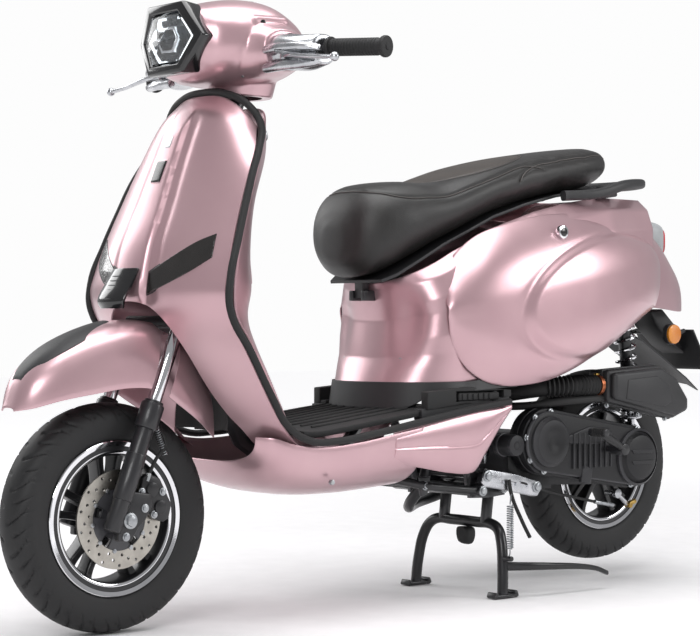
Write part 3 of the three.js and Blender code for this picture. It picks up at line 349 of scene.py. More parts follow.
# Injection-moulded polypropylene with a spark-eroded grain: dull, faintly speckled.
GRAINED_PLASTIC = Finish(
    "black_plastic", "grained_black_polypropylene", "1f1f21", "19191b", 0.50, 0.06, grain_mm=1.4,
    relief=0.28, edge="4a4a4c",
)
# Gloss ABS trim: smooth, with clean reflections.
GLOSS_PLASTIC = Finish(
    "gloss_black", "gloss_black_abs", "141416", "0f0f11", 0.16, 0.04, coat=0.4, grain_mm=2.5,
    relief=0.03,
)
# Pressed EPDM rubber: matt, dusty on its high spots.
RUBBER = Finish(
    "rubber", "black_epdm_rubber", "151516", "101011", 0.68, 0.08, grain=Grain.SANDED,
    grain_mm=0.9, relief=0.25,
)
# Vulcanised tyre compound: dark grey, matt, with mould dust in its clouds.
TYRE_COMPOUND = Finish(
    "tyre", "vulcanised_tyre_rubber", "171718", "101012", 0.62, 0.09, grain=Grain.SANDED,
    grain_mm=1.1, relief=0.3, patch_mm=40.0,
)
# Calendered vinyl over foam: a fine hide grain with a soft brownish sheen.
SEAT_VINYL = Finish(
    "vinyl", "embossed_black_vinyl", "1a1817", "131212", 0.46, 0.07, coat=0.08,
    coat_roughness=0.35, grain=Grain.HIDE, grain_mm=2.2, relief=0.35, patch_mm=90.0,
)
# The rider's pad is a smoother vinyl; its lighter warm brown colour is a painted sheen of light on
# the seat's top.
PAD_VINYL_WITH_PAINTED_SHEEN = Finish(
    "vinyl", "pad_vinyl_with_painted_sheen", "3a342f", "2e2926", 0.5, 0.05, grain=Grain.HIDE,
    grain_mm=1.5, relief=0.25, patch_mm=90.0,
)
# Waxed sewing thread.
THREAD = Finish(
    "vinyl", "waxed_black_thread", "4a4644", "3a3735", 0.6, 0.05, grain=Grain.SANDED,
    grain_mm=0.5,
)
# Wrinkle-free satin enamel on steel and alloy: black, rubbed grey along its edges.
BLACK_ENAMEL = Finish(
    "black_metal", "black_satin_enamel", "1b1b1e", "141416", 0.36, 0.07, metallic=0.2, coat=0.2,
    grain=Grain.SANDED, grain_mm=1.6, relief=0.12, edge="5c5c60",
)
# Shot-blasted and painted engine castings: a coarser skin than the frame's.
CASTING_ENAMEL = Finish(
    "black_metal", "black_engine_casting_enamel", "18181b", "121214", 0.48, 0.07, metallic=0.25,
    grain=Grain.SANDED, grain_mm=2.0, relief=0.3, edge="6a6a6e",
)
# Die-cast aluminium, vibration-polished: pale grey with soft clouds.
CAST_ALUMINIUM = Finish(
    "cast", "polished_cast_aluminium", "c9cacd", "a9abaf", 0.27, 0.08, metallic=1.0,
    grain=Grain.SANDED, grain_mm=1.3, relief=0.1, patch_mm=30.0,
)
# Stainless brake steel, ground flat: straight fine scratches.
GROUND_STEEL = Finish(
    "steel", "ground_stainless_steel", "b9b5ad", "a29e97", 0.32, 0.06, metallic=1.0,
    grain=Grain.BRUSHED, grain_mm=0.7, relief=0.18, patch_mm=25.0,
)
# Plated steel, buffed before plating: a clear mirror.
CHROME = Finish(
    "chrome", "buffed_chrome_plate", "e3e3e6", "d6d7da", 0.07, 0.03, metallic=1.0,
    grain=Grain.SANDED, grain_mm=4.0, relief=0.02,
)
# Zinc-plated fasteners and springs: a dull bluish metal.
ZINC = Finish(
    "steel", "zinc_plated_steel", "b3b6b8", "94979b", 0.35, 0.08, metallic=1.0,
    grain=Grain.SANDED, grain_mm=1.0, relief=0.12, patch_mm=12.0,
)
# Yellow-passivated zinc on small adjusters.
PASSIVATED = Finish(
    "steel", "yellow_passivated_steel", "b89a5a", "94763c", 0.38, 0.08, metallic=1.0,
    grain=Grain.SANDED, grain_mm=1.0, patch_mm=10.0,
)
# Copper-plated hose band.
COPPER = Finish(
    "steel", "copper_plated_band", "c07a58", "9c5a3c", 0.34, 0.06, metallic=1.0,
    grain=Grain.BRUSHED, grain_mm=0.8, patch_mm=12.0,
)
# Moulded polycarbonate lenses: clear, smoked, red and amber, with prism optics inside.
CLEAR_LENS = Finish(
    "clear", "clear_polycarbonate", "ffffff", "f6fafc", 0.05, 0.02, ior=1.3, clear=0.96,
    grain_mm=20.0, relief=0.01,
)
SMOKED_LENS = Finish(
    "smoke", "smoked_polycarbonate", "1f1c1b", "131110", 0.14, 0.03, coat=0.5,
    coat_roughness=0.08, grain=Grain.PRISM, grain_mm=7.0, relief=0.2,
)
RED_LENS = Finish(
    "red", "red_polycarbonate", "b4202c", "8c1520", 0.15, 0.04, coat=0.5, grain=Grain.PRISM,
    grain_mm=5.0, relief=0.35,
)
AMBER_LENS = Finish(
    "amber", "amber_polycarbonate", "d98a26", "b9661a", 0.2, 0.05, coat=0.5, grain=Grain.PRISM,
    grain_mm=3.2, relief=0.5,
)
# Grey ABS tail-lamp housing.
GREY_HOUSING = Finish("red", "grey_abs_housing", "9ea1a3", "8c8f91", 0.34, 0.05, coat=0.2)
# Vacuum-metallised reflector bowl.
MIRROR_BOWL = Finish(
    "chrome", "metallised_reflector", "4c5056", "26292d", 0.16, 0.05, metallic=1.0, grain_mm=6.0,
    relief=0.05, patch_mm=14.0,
)
# Light-guide plastic: milky white.
LIGHT_GUIDE = Finish("clear", "milky_light_guide", "e9eef2", "dfe6ea", 0.25, 0.03, glow=1.4)
# Fibre liner inside the wheel arch: flat charcoal.
LINER = Finish(
    "liner", "pressed_fibre_liner", "252324", "1d1b1c", 0.8, 0.05, grain_mm=3.0, relief=0.3,
)
# Small dark screen under a gloss window.
DARK_SCREEN = Finish("gloss_black", "dark_dial_window", "101214", "0c0d0f", 0.09, 0.03, coat=0.8)

# Matt paint on the floor that the scooter stands on.
STUDIO_PAINT = Finish(
    "paint", "studio_floor_paint", "f3f2f3", "efeeef", 0.7, 0.03, grain_mm=6.0, relief=0.02,
)


# ------------------------------------------------------------------ making


def only(*pieces: Piece) -> None:
    """Selects just these pieces, the first of them active.

    Args:
        pieces: The pieces; none of them leaves nothing selected.
    """
    bpy.ops.object.select_all(action="DESELECT")
    for piece in pieces:
        piece.select_set(True)
    if pieces:
        bpy.context.view_layer.objects.active = pieces[0]


def modified(piece: Piece, kind: str, **settings: object) -> Piece:
    """Adds one modifier to a piece and applies it.

    Args:
        piece: The piece that is changed.
        kind: The modifier's type.
        settings: The modifier's attributes.

    Returns:
        The same piece.
    """
    modifier = piece.modifiers.new(kind.lower(), kind)
    for name, value in settings.items():
        setattr(modifier, name, value)
    only(piece)
    bpy.ops.object.modifier_apply(modifier=modifier.name)
    return piece


def rounded(
    piece: Piece, width: float, segments: int = 3, angle: float = 30.0
) -> Piece:
    """Rounds a piece's sharp edges.

    Args:
        piece: The piece that is changed.
        width: The rounding in millimetres.
        segments: Facets across it.
        angle: The least angle in degrees that is rounded.

    Returns:
        The same piece.
    """
    return modified(
        piece, "BEVEL", width=width * MM, segments=segments, limit_method="ANGLE",
        angle_limit=math.radians(angle), harden_normals=False,
    )


def outward(piece: Piece) -> Piece:
    """Merges doubled points and turns every face to the outside.

    Args:
        piece: The piece that is changed.

    Returns:
        The same piece.
    """
    only(piece)
    bpy.ops.object.mode_set(mode="EDIT")
    bpy.ops.mesh.select_all(action="SELECT")
    bpy.ops.mesh.remove_doubles(threshold=1e-6)
    bpy.ops.mesh.normals_make_consistent(inside=False)
    bpy.ops.object.mode_set(mode="OBJECT")
    return piece


def from_faces(points: Sequence, faces: Sequence) -> Piece:
    """Makes a piece from points in millimetres and faces.

    Args:
        points: Places counted from the front axle.
        faces: Point numbers round each face.

    Returns:
        The new piece.
    """
    mesh = bpy.data.meshes.new("shape")
    mesh.from_pydata([at(*p) for p in points], [], faces)
    piece = bpy.data.objects.new("shape", mesh)
    bpy.context.collection.objects.link(piece)
    return piece


def grid_faces(rows: int, columns: int, ring: bool = False) -> list[tuple[int, ...]]:
    """Lists the quads of a grid of points.

    Args:
        rows: Rows of points.
        columns: Points in each row.
        ring: True when each row closes on itself.

    Returns:
        Point numbers round each quad.
    """
    last = columns if ring else columns - 1
    faces = []
    for i in range(rows - 1):
        for j in range(last):
            k = (j + 1) % columns
            near, far = i * columns, (i + 1) * columns
            faces.append((near + j, near + k, far + k, far + j))
    return faces


def panel(grid: np.ndarray, wall: float = 3.0, rim: float = 0.8) -> Piece:
    """Makes a curved panel of even thickness from a grid of points.

    Args:
        grid: Rows of points in millimetres.
        wall: Its thickness.
        rim: The rounding of its rim.

    Returns:
        The new piece.
    """
    rows, columns = grid.shape[:2]
    piece = from_faces(grid.reshape(-1, 3), grid_faces(rows, columns))
    modified(piece, "SOLIDIFY", thickness=wall * MM, offset=0.0, use_even_offset=False)
    outward(piece)
    return rounded(piece, rim, 2, 55.0) if rim else piece


def disc(rings: np.ndarray, wall: float = 3.0, rim: float = 0.8) -> Piece:
    """Makes a curved panel from rings of points round its middle.

    Args:
        rings: Rings of points in millimetres, the outer one first.
        wall: Its thickness.
        rim: The rounding of its rim.

    Returns:
        The new piece.
    """
    count, sides = rings.shape[:2]
    points = [*rings.reshape(-1, 3), rings[-1].mean(axis=0)]
    base = (count - 1) * sides
    faces = grid_faces(count, sides, ring=True)
    faces += [(base + j, base + (j + 1) % sides, count * sides) for j in range(sides)]
    piece = from_faces(points, faces)
    modified(piece, "SOLIDIFY", thickness=wall * MM, offset=0.0, use_even_offset=False)
    outward(piece)
    return rounded(piece, rim, 2, 55.0)


def skin(rings: np.ndarray) -> Piece:
    """Makes a closed piece over rings of points, with a fan over each end.

    Args:
        rings: Closed sections of points in millimetres.

    Returns:
        The new piece.
    """
    count, sides = rings.shape[:2]
    points = list(rings.reshape(-1, 3)) + [rings[0].mean(axis=0), rings[-1].mean(axis=0)]
    faces = grid_faces(count, sides, ring=True)
    for base, centre in ((0, count * sides), ((count - 1) * sides, count * sides + 1)):
        faces += [(centre, base + j, base + (j + 1) % sides) for j in range(sides)]
    return outward(from_faces(points, faces))


def oval(wide: float, high: float, square: float, sides: int) -> np.ndarray:
    """Gives the points of a rounded oval.

    Args:
        wide: Its half width.
        high: Its half height.
        square: 2 for an ellipse, more for squarer corners.
        sides: How many points it has.

    Returns:
        One row of two distances for each point.
    """
    angle = np.linspace(0.0, 2 * math.pi, sides, endpoint=False)
    c, s = np.cos(angle), np.sin(angle)
    x = wide * np.sign(c) * np.abs(c) ** (2 / square)
    return np.stack([x, high * np.sign(s) * np.abs(s) ** (2 / square)], axis=1)


def loft(
    stations: Sequence[Row], sides: int = 72, fine: int = 48, x: float = 0.0
) -> Piece:
    """Makes a closed body over oval sections set along Y.

    Args:
        stations: y, centre height, half width, half height and squareness of each.
        sides: Points round a section.
        fine: Sections made.
        x: Where the body's middle lies across the scooter.

    Returns:
        The new piece.
    """
    rings = []
    for y, z, wide, high, square in smooth_rows(stations, fine):
        section = oval(max(wide, 0.5), max(high, 0.5), square, sides)
        rings.append(np.stack([section[:, 0] + x, np.full(sides, y), section[:, 1] + z], axis=1))
    return skin(np.array(rings))


def crosswise(
    stations: Sequence[Row], side: int, fine: int, square: float, sides: int = 48
) -> Piece:
    """Makes a closed body over oval sections set across the scooter.

    Args:
        stations: x, y, z, half depth and half height of each.
        side: 1 for the left, -1 for the right.
        fine: Sections made.
        square: Squareness of the sections.
        sides: Points round a section.

    Returns:
        The new piece.
    """
    rings = []
    for x, y, z, deep, high in smooth_rows(stations, fine):
        section = oval(deep, high, square, sides)
        rings.append(
            np.stack([np.full(sides, side * x), y + section[:, 0], z + section[:, 1]], axis=1)
        )
    return skin(np.array(rings))


def arched(stations: Sequence[Row], fine: int, columns: int) -> np.ndarray:
    """Gives a grid of squarish arches set along Y.

    Args:
        stations: y, half width, height of the feet and height of the crown of each.
        fine: Arches made.
        columns: Points over each.

    Returns:
        Rows of points in millimetres.
    """
    angle = np.linspace(0, math.pi, columns)
    c, s = np.cos(angle), np.sin(angle)
    grid = []
    for y, wide, feet, crown in smooth_rows(stations, fine):
        x = wide * np.sign(c) * np.abs(c) ** 0.7
        grid.append(np.stack([x, np.full(columns, y), feet + (crown - feet) * s**0.7], axis=1))
    return np.array(grid)


def framed(line: np.ndarray) -> list[tuple[np.ndarray, np.ndarray, np.ndarray]]:
    """Finds the ways square to a line at each of its places.

    Args:
        line: Places along the line.

    Returns:
        Each place with the ways to its side and up.
    """
    frames = []
    for i, place in enumerate(line):
        along = line[min(i + 1, len(line) - 1)] - line[max(i - 1, 0)]
        along = along / np.linalg.norm(along)
        side = np.cross(along, (0, 0, 1.0))
        side /= np.linalg.norm(side)
        frames.append((place, side, np.cross(side, along)))
    return frames


def ball(place: Row, radius: float, segments: int, rings: int) -> Piece:
    """Makes a sphere.

    Args:
        place: Its middle in millimetres.
        radius: Its radius.
        segments: Facets round it.
        rings: Facets from pole to pole.

    Returns:
        The new piece, its place not yet moved into its mesh.
    """
    only()
    bpy.ops.mesh.primitive_uv_sphere_add(
        segments=segments, ring_count=rings, radius=radius * MM, location=at(*place)
    )
    return bpy.context.object


def rod(
    start: Row, end: Row, radius: float, edge: float = 1.0, sides: int = 40
) -> Piece:
    """Makes a round bar between two places.

    Args:
        start: Its first end in millimetres.
        end: Its other end.
        radius: Its radius.
        edge: The rounding of its ends.
        sides: Facets round it.

    Returns:
        The new piece.
    """
    low, high = at(*start), at(*end)
    along = high - low
    only()
    bpy.ops.mesh.primitive_cone_add(
        vertices=sides, radius1=radius * MM, radius2=radius * MM,
        depth=along.length, location=(low + high) / 2,
        rotation=along.to_track_quat("Z", "Y").to_euler(),
    )
    piece = set_down(bpy.context.object)
    return rounded(piece, edge, 2, 50.0) if edge else piece


def rod_x(
    x0: float, x1: float, y: float, z: float, radius: float, **more: float
) -> Piece:
    """Makes a round bar across the scooter."""
    return rod((x0, y, z), (x1, y, z), radius, **more)


def block(
    x: Row, y: Row, z: Row, edge: float = 1.5, turn: Row = (0.0, 0.0, 0.0)
) -> Piece:
    """Makes a block with rounded edges.

    Args:
        x: Its two sides across the scooter.
        y: Its front and rear.
        z: Its bottom and top.
        edge: The rounding of its edges.
        turn: Its turn about each axis in degrees.

    Returns:
        The new piece.
    """
    only()
    middle = at(sum(x) / 2, sum(y) / 2, sum(z) / 2)
    bpy.ops.mesh.primitive_cube_add(size=1.0, location=middle)
    piece = bpy.context.object
    piece.scale = [abs(pair[1] - pair[0]) * MM for pair in (x, y, z)]
    piece.rotation_euler = [math.radians(angle) for angle in turn]
    set_down(piece)
    return rounded(piece, edge, 3, 50.0) if edge else piece


def set_down(piece: Piece) -> Piece:
    """Moves a piece's place, turn and size into its mesh.

    Args:
        piece: The piece that is changed.

    Returns:
        The same piece.
    """
    only(piece)
    bpy.ops.object.transform_apply(location=True, rotation=True, scale=True)
    return piece


def pipe(
    points: Sequence[Row], radius: float, fine: int = 6, sides: int = 6
) -> Piece:
    """Makes a round bar along a smooth line.

    Args:
        points: Places that the line passes through, in millimetres.
        radius: The bar's radius.
        fine: Steps between places.
        sides: Roundness of the section, quarter facets.

    Returns:
        The new piece.
    """
    curve = bpy.data.curves.new("line", "CURVE")
    curve.dimensions = "3D"
    curve.bevel_depth = radius * MM
    curve.bevel_resolution = sides
    curve.resolution_u = fine
    curve.use_fill_caps = True
    spline = curve.splines.new("BEZIER")
    spline.bezier_points.add(len(points) - 1)
    for knot, place in zip(spline.bezier_points, points):
        knot.co = at(*place)
        knot.handle_left_type = knot.handle_right_type = "AUTO"
    piece = bpy.data.objects.new("line", curve)
    bpy.context.collection.objects.link(piece)
    only(piece)
    bpy.ops.object.convert(target="MESH")
    piece = bpy.context.object
    return outward(piece)


def coil(start: Row, end: Row, radius: float, wire: float, turns: float) -> Piece:
    """Winds a coil spring between two places.

    Args:
        start: The middle of one end, in millimetres.
        end: The middle of the other end.
        radius: From the middle of the coil to the middle of the wire.
        wire: The wire's radius.
        turns: How many times it goes round.

    Returns:
        The new piece.
    """
    low, high = np.array(start, float), np.array(end, float)
    along = (high - low) / np.linalg.norm(high - low)
    side = np.cross(along, (1.0, 0.0, 0.0))
    side /= np.linalg.norm(side)
    other = np.cross(along, side)
    count = int(turns * 12)
    route = []
    for i in range(count + 1):
        angle = 2 * math.pi * turns * i / count
        offset = radius * (math.cos(angle) * side + math.sin(angle) * other)
        route.append(low + (high - low) * i / count + offset)
    return pipe(route, wire, fine=2, sides=2)


def turned(
    profile: Sequence[Row], y: float, z: float, sides: int = 128, ring: bool = True
) -> Piece:
    """Spins a profile about a line across the scooter.

    Args:
        profile: Radius and x of each point.
        y: Where the line lies.
        z: Its height.
        sides: Facets round it.
        ring: True when the profile closes on itself, False when it ends on the line.

    Returns:
        The new piece.
    """
    points = [(x, y, z + radius) for radius, x in profile]
    count = len(points)
    mesh = bpy.data.meshes.new("profile")
    edges = [(i, i + 1) for i in range(count - 1)] + ([(count - 1, 0)] if ring else [])
    mesh.from_pydata([at(*p) for p in points], edges, [])
    piece = bpy.data.objects.new("profile", mesh)
    bpy.context.collection.objects.link(piece)
    only(piece)
    bpy.ops.object.mode_set(mode="EDIT")
    bpy.ops.mesh.select_all(action="SELECT")
    bpy.ops.mesh.spin(
        steps=sides, angle=2 * math.pi, center=at(0, y, z), axis=(1.0, 0.0, 0.0)
    )
    bpy.ops.object.mode_set(mode="OBJECT")
    return outward(piece)


def slab(outline: Sequence[Row], x0: float, x1: float, edge: float = 1.5) -> Piece:
    """Gives a side-view outline its thickness across the scooter.

    Args:
        outline: y and z of each corner.
        x0: One face.
        x1: The other face.
        edge: The rounding of its edges.

    Returns:
        The new piece.
    """
    count = len(outline)
    points = [(x, y, z) for x in (x0, x1) for y, z in outline]
    faces = [tuple(range(count)), tuple(range(count, 2 * count))]
    faces += [(i, (i + 1) % count, count + (i + 1) % count, count + i) for i in range(count)]
    piece = outward(from_faces(points, faces))
    return rounded(piece, edge, 3, 25.0) if edge else piece


def cut(piece: Piece, *tools: Piece) -> Piece:
    """Cuts tools out of a piece.

    Args:
        piece: The piece that is changed.
        tools: The solids that are used up.

    Returns:
        The same piece.
    """
    for tool in tools:
        modified(piece, "BOOLEAN", object=tool, operation="DIFFERENCE", solver="EXACT")
        bpy.data.objects.remove(tool)
    return piece


def gathered(*pieces: Piece) -> Piece:
    """Gathers loose pieces into one object.

    Args:
        pieces: The pieces; the first of them takes in the others.

    Returns:
        The first piece.
    """
    only(*pieces)
    if len(pieces) > 1:
        bpy.ops.object.join()
    return pieces[0]


def mirrored(piece: Piece) -> Piece:
    """Copies a piece to the other side of the scooter.

    Args:
        piece: The piece that is copied.

    Returns:
        The copy.
    """
    twin = bpy.data.objects.new(piece.name, piece.data.copy())
    bpy.context.collection.objects.link(twin)
    for vertex in twin.data.vertices:
        vertex.co.x = -vertex.co.x
    twin.data.flip_normals()
    return twin


def both(piece: Piece) -> Piece:
    """Gathers a piece with its mirror image."""
    return gathered(piece, mirrored(piece))


def spun(piece: Piece, count: int, y: float, z: float) -> Piece:
    """Repeats a piece evenly round a line across the scooter.

    Args:
        piece: The first of them.
        count: How many there are in all.
        y: Where the line lies.
        z: Its height.

    Returns:
        All of them as one piece.
    """
    source = np.array([v.co for v in piece.data.vertices])
    centre = np.array(at(0.0, y, z))
    copies = [piece]
    for i in range(1, count):
        angle = 2 * math.pi * i / count
        c, s = math.cos(angle), math.sin(angle)
        turn = np.array([[1, 0, 0], [0, c, -s], [0, s, c]])
        twin = bpy.data.objects.new("copy", piece.data.copy())
        bpy.context.collection.objects.link(twin)
        twin.data.vertices.foreach_set("co", ((source - centre) @ turn.T + centre).ravel())
        copies.append(twin)
    return gathered(*copies)


def bolt(place: Row, out: Row, radius: float = 6.0, height: float = 5.0) -> Piece:
    """Makes a flanged hexagon bolt head.

    Args:
        place: Where it sits.
        out: The way it points.
        radius: Half its width over corners.
        height: How far it stands up.

    Returns:
        The new piece.
    """
    base, way = np.array(place, float), np.array(out, float)
    way = way / np.linalg.norm(way)
    flange = rod(base - way, base + way * 0.35 * height, radius * 1.35, edge=0.4, sides=24)
    head = rod(base, base + way * height, radius, edge=0.6, sides=6)
    return gathered(flange, head)


@dataclass
class Kit:
    """Everything that belongs to one moving body of the scooter."""

    body: str

    def add(
        self, piece: Piece, name: str, finish: Finish,
        instead_of: Sequence[str] = (), angle: float = 35.0, slot: str | None = None,
    ) -> Piece:
        """Finishes a piece and hangs it on the body.

        Args:
            piece: The made piece.
            name: Its name.
            finish: What it is made of.
            instead_of: Frame nodes that it stands for.
            angle: Edges sharper than this many degrees stay sharp.
            slot: The record's material slot, if it is not its finish's own; not used.

        Returns:
            The same piece.
        """
        piece.name = name
        piece.data.name = name
        piece.data.materials.clear()
        piece.data.materials.append(finish.material())
        only(piece)
        bpy.ops.object.shade_smooth_by_angle(angle=math.radians(angle))
        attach(piece, self.body)
        if instead_of:
            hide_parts(*instead_of)
        LOG.info("%s: %d faces", name, len(piece.data.polygons))
        return piece

    def refine(
        self, node: str, finish: Finish, edge: float = 1.2, slot: str | None = None
    ) -> Piece:
        """Copies a frame node and rounds its edges.

        Args:
            node: The node's name.
            finish: What it is made of.
            edge: The rounding in millimetres.
            slot: The record's material slot, if it is not its finish's own.

        Returns:
            The new piece.
        """
        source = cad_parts[node]
        piece = bpy.data.objects.new(node, source.data.copy())
        bpy.context.collection.objects.link(piece)
        only(piece)
        bpy.ops.object.mode_set(mode="EDIT")
        bpy.ops.mesh.select_all(action="SELECT")
        bpy.ops.mesh.remove_doubles(threshold=1e-5)
        bpy.ops.mesh.dissolve_limited(angle_limit=math.radians(1.0))
        bpy.ops.object.mode_set(mode="OBJECT")
        if edge:
            rounded(piece, edge, 2, 35.0)
        return self.add(piece, f"{node}_finished", finish, [node], slot=slot)


def dress(node: str, finish: Finish) -> None:
    """Gives a frame node that is shown as it is its own finish.

    Args:
        node: The node's name.
        finish: What it is made of.
    """
    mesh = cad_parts[node].data
    mesh.materials.clear()
    mesh.materials.append(finish.material())


# ------------------------------------------------------------------ wheels


@dataclass
class Wheel:
    """A tyre on its cast rim."""

    name: str
    body: str
    y: float
    z: float
    tyre_radius: float = 214.0
    half_width: float = 44.5
    lip_radius: float = 142.0
    rim_half_width: float = 38.0
    spoke_pairs: int = 5
    tread_pitch: float = 61.0
    groove_depth: float = 3.6

    def build(self) -> None:
        """Makes the tyre, the rim and its polished lips."""
        self.kit = Kit(self.body)
        self.kit.add(
            self.tyre(), f"{self.name}_treaded_tyre", TYRE_COMPOUND,
            [f"{self.name}_tyre"], angle=50.0,
        )
        self.rim()
        self.lips()

    def tyre(self, around: int = 560, across: int = 64) -> Piece:
        """Makes the tyre with its swept grooves pressed into the tread.

        Args:
            around: Steps round the wheel.
            across: Steps over the section.

        Returns:
            The new piece.
        """
        half = [
            (self.lip_radius + 1, self.rim_half_width - 6), (148, 38.5), (155, 41.5),
            (176, self.half_width), (192, 43), (203, 36), (210, 24), (self.tyre_radius, 0),
        ]
        outline = smooth_rows(half + [(r, -x) for r, x in half[-2::-1]], across)
        arc = np.concatenate(
            [[0], np.cumsum(np.linalg.norm(np.diff(outline, axis=0), axis=1))]
        )
        side = arc - arc[-1] / 2
        angle = np.linspace(0, 2 * math.pi, around, endpoint=False)
        depth = self.grooves(angle[:, None] * self.tyre_radius, side[None, :])
        radius = outline[None, :, 0] - depth
        x = np.broadcast_to(outline[None, :, 1], radius.shape)
        x = x * (1 - 0.25 * depth / self.tyre_radius)
        y = self.y + radius * np.sin(angle)[:, None]
        z = self.z + radius * np.cos(angle)[:, None]
        points = np.stack([x, y, z], axis=2).transpose(1, 0, 2)
        piece = from_faces(points.reshape(-1, 3), grid_faces(across, around, ring=True))
        modified(piece, "SOLIDIFY", thickness=3 * MM, offset=-1.0)
        return outward(piece)

    def grooves(self, travel: np.ndarray, side: np.ndarray) -> np.ndarray:
        """Works out how deep the tread is pressed at each place.

        Args:
            travel: Distance round the tread.
            side: Distance from the tread's middle, over the section.

        Returns:
            The depth in millimetres.
        """
        turns = round(2 * math.pi * self.tyre_radius / self.tread_pitch)
        pitch = 2 * math.pi * self.tyre_radius / turns
        depth = np.zeros(np.broadcast(travel, side).shape)
        out = np.abs(side)
        stagger = np.where(side > 0, 0.0, 0.5 * pitch)
        for shift, inner, outer, sweep, width in (
            (0.0, 7.0, 50.0, 0.016, 4.6), (0.42, 22.0, 58.0, 0.009, 3.8),
            (0.7, 38.0, 66.0, 0.004, 3.4),
        ):
            line = travel + stagger + shift * pitch - sweep * out**2
            away = np.abs((line + pitch / 2) % pitch - pitch / 2)
            body = 1 - step(0.35 * width, 0.75 * width, away)
            length = step(inner - 3, inner + 3, out) * (1 - step(outer - 4, outer + 4, out))
            depth = np.maximum(depth, self.groove_depth * body * length)
        rib = np.abs(out - 71.0)
        return depth + 0.6 * (1 - step(0.6, 1.8, rib))

    def rim(self) -> None:
        """Makes the cast rim: barrel, hub and paired spokes."""
        w, lip = self.rim_half_width, self.lip_radius
        barrel = turned(
            [
                (120, -w + 3), (130, -w + 1), (lip - 4, -w + 2), (lip - 2, -w + 6), (130, -10),
                (130, 10), (lip - 2, w - 6), (lip - 4, w - 2), (130, w - 1), (120, w - 3),
                (117, w - 8), (116, 0), (117, -w + 8),
            ],
            self.y, self.z,
        )
        hub = turned(
            [
                (9, -w), (30, -w), (37, -w + 4), (41, -w + 12), (38, 0), (41, w - 12),
                (37, w - 4), (30, w), (9, w),
            ],
            self.y, self.z, sides=64,
        )
        spokes = [self.spoke(side) for side in (-1, 1)]
        pair = spun(gathered(*spokes), self.spoke_pairs, self.y, self.z)
        rim = gathered(barrel, hub, pair)
        self.kit.add(rim, f"{self.name}_cast_rim", BLACK_ENAMEL, [f"{self.name}_rim"])

    def spoke(self, side: int) -> Piece:
        """Makes one spoke of a pair, wider and deeper at the hub.

        Args:
            side: 1 or -1, which of the pair.

        Returns:
            The new piece.
        """
        rings = []
        for height, offset, wide, deep in (
            (30, 12, 9, 27), (60, 14, 8, 21), (95, 19, 7.5, 19), (121, 24, 9, 24)
        ):
            section = oval(deep, wide, 5.0, 20)
            rings.append(
                [(x, self.y + side * offset + across, self.z + height) for x, across in section]
            )
        return skin(smooth_rows(rings, 14))

    def lips(self) -> None:
        """Makes the polished edge rings on both sides of the rim."""
        w, lip = self.rim_half_width, self.lip_radius
        outer = [
            (lip - 7, w + 0.3), (lip - 2.4, w + 1.2), (lip + 1, w + 1.8), (lip + 2.6, w + 0.6),
            (lip + 1.4, w - 2), (lip - 5, w - 1.6),
        ]
        inner = [(121, w - 2.6), (124, w - 1.2), (126, w - 1.4), (124, w - 4)]
        rings = [turned(profile, self.y, self.z) for profile in (outer, inner)]
        lips = both(gathered(*rings))
        self.kit.add(lips, f"{self.name}_polished_lips", CHROME, slot="black_metal")


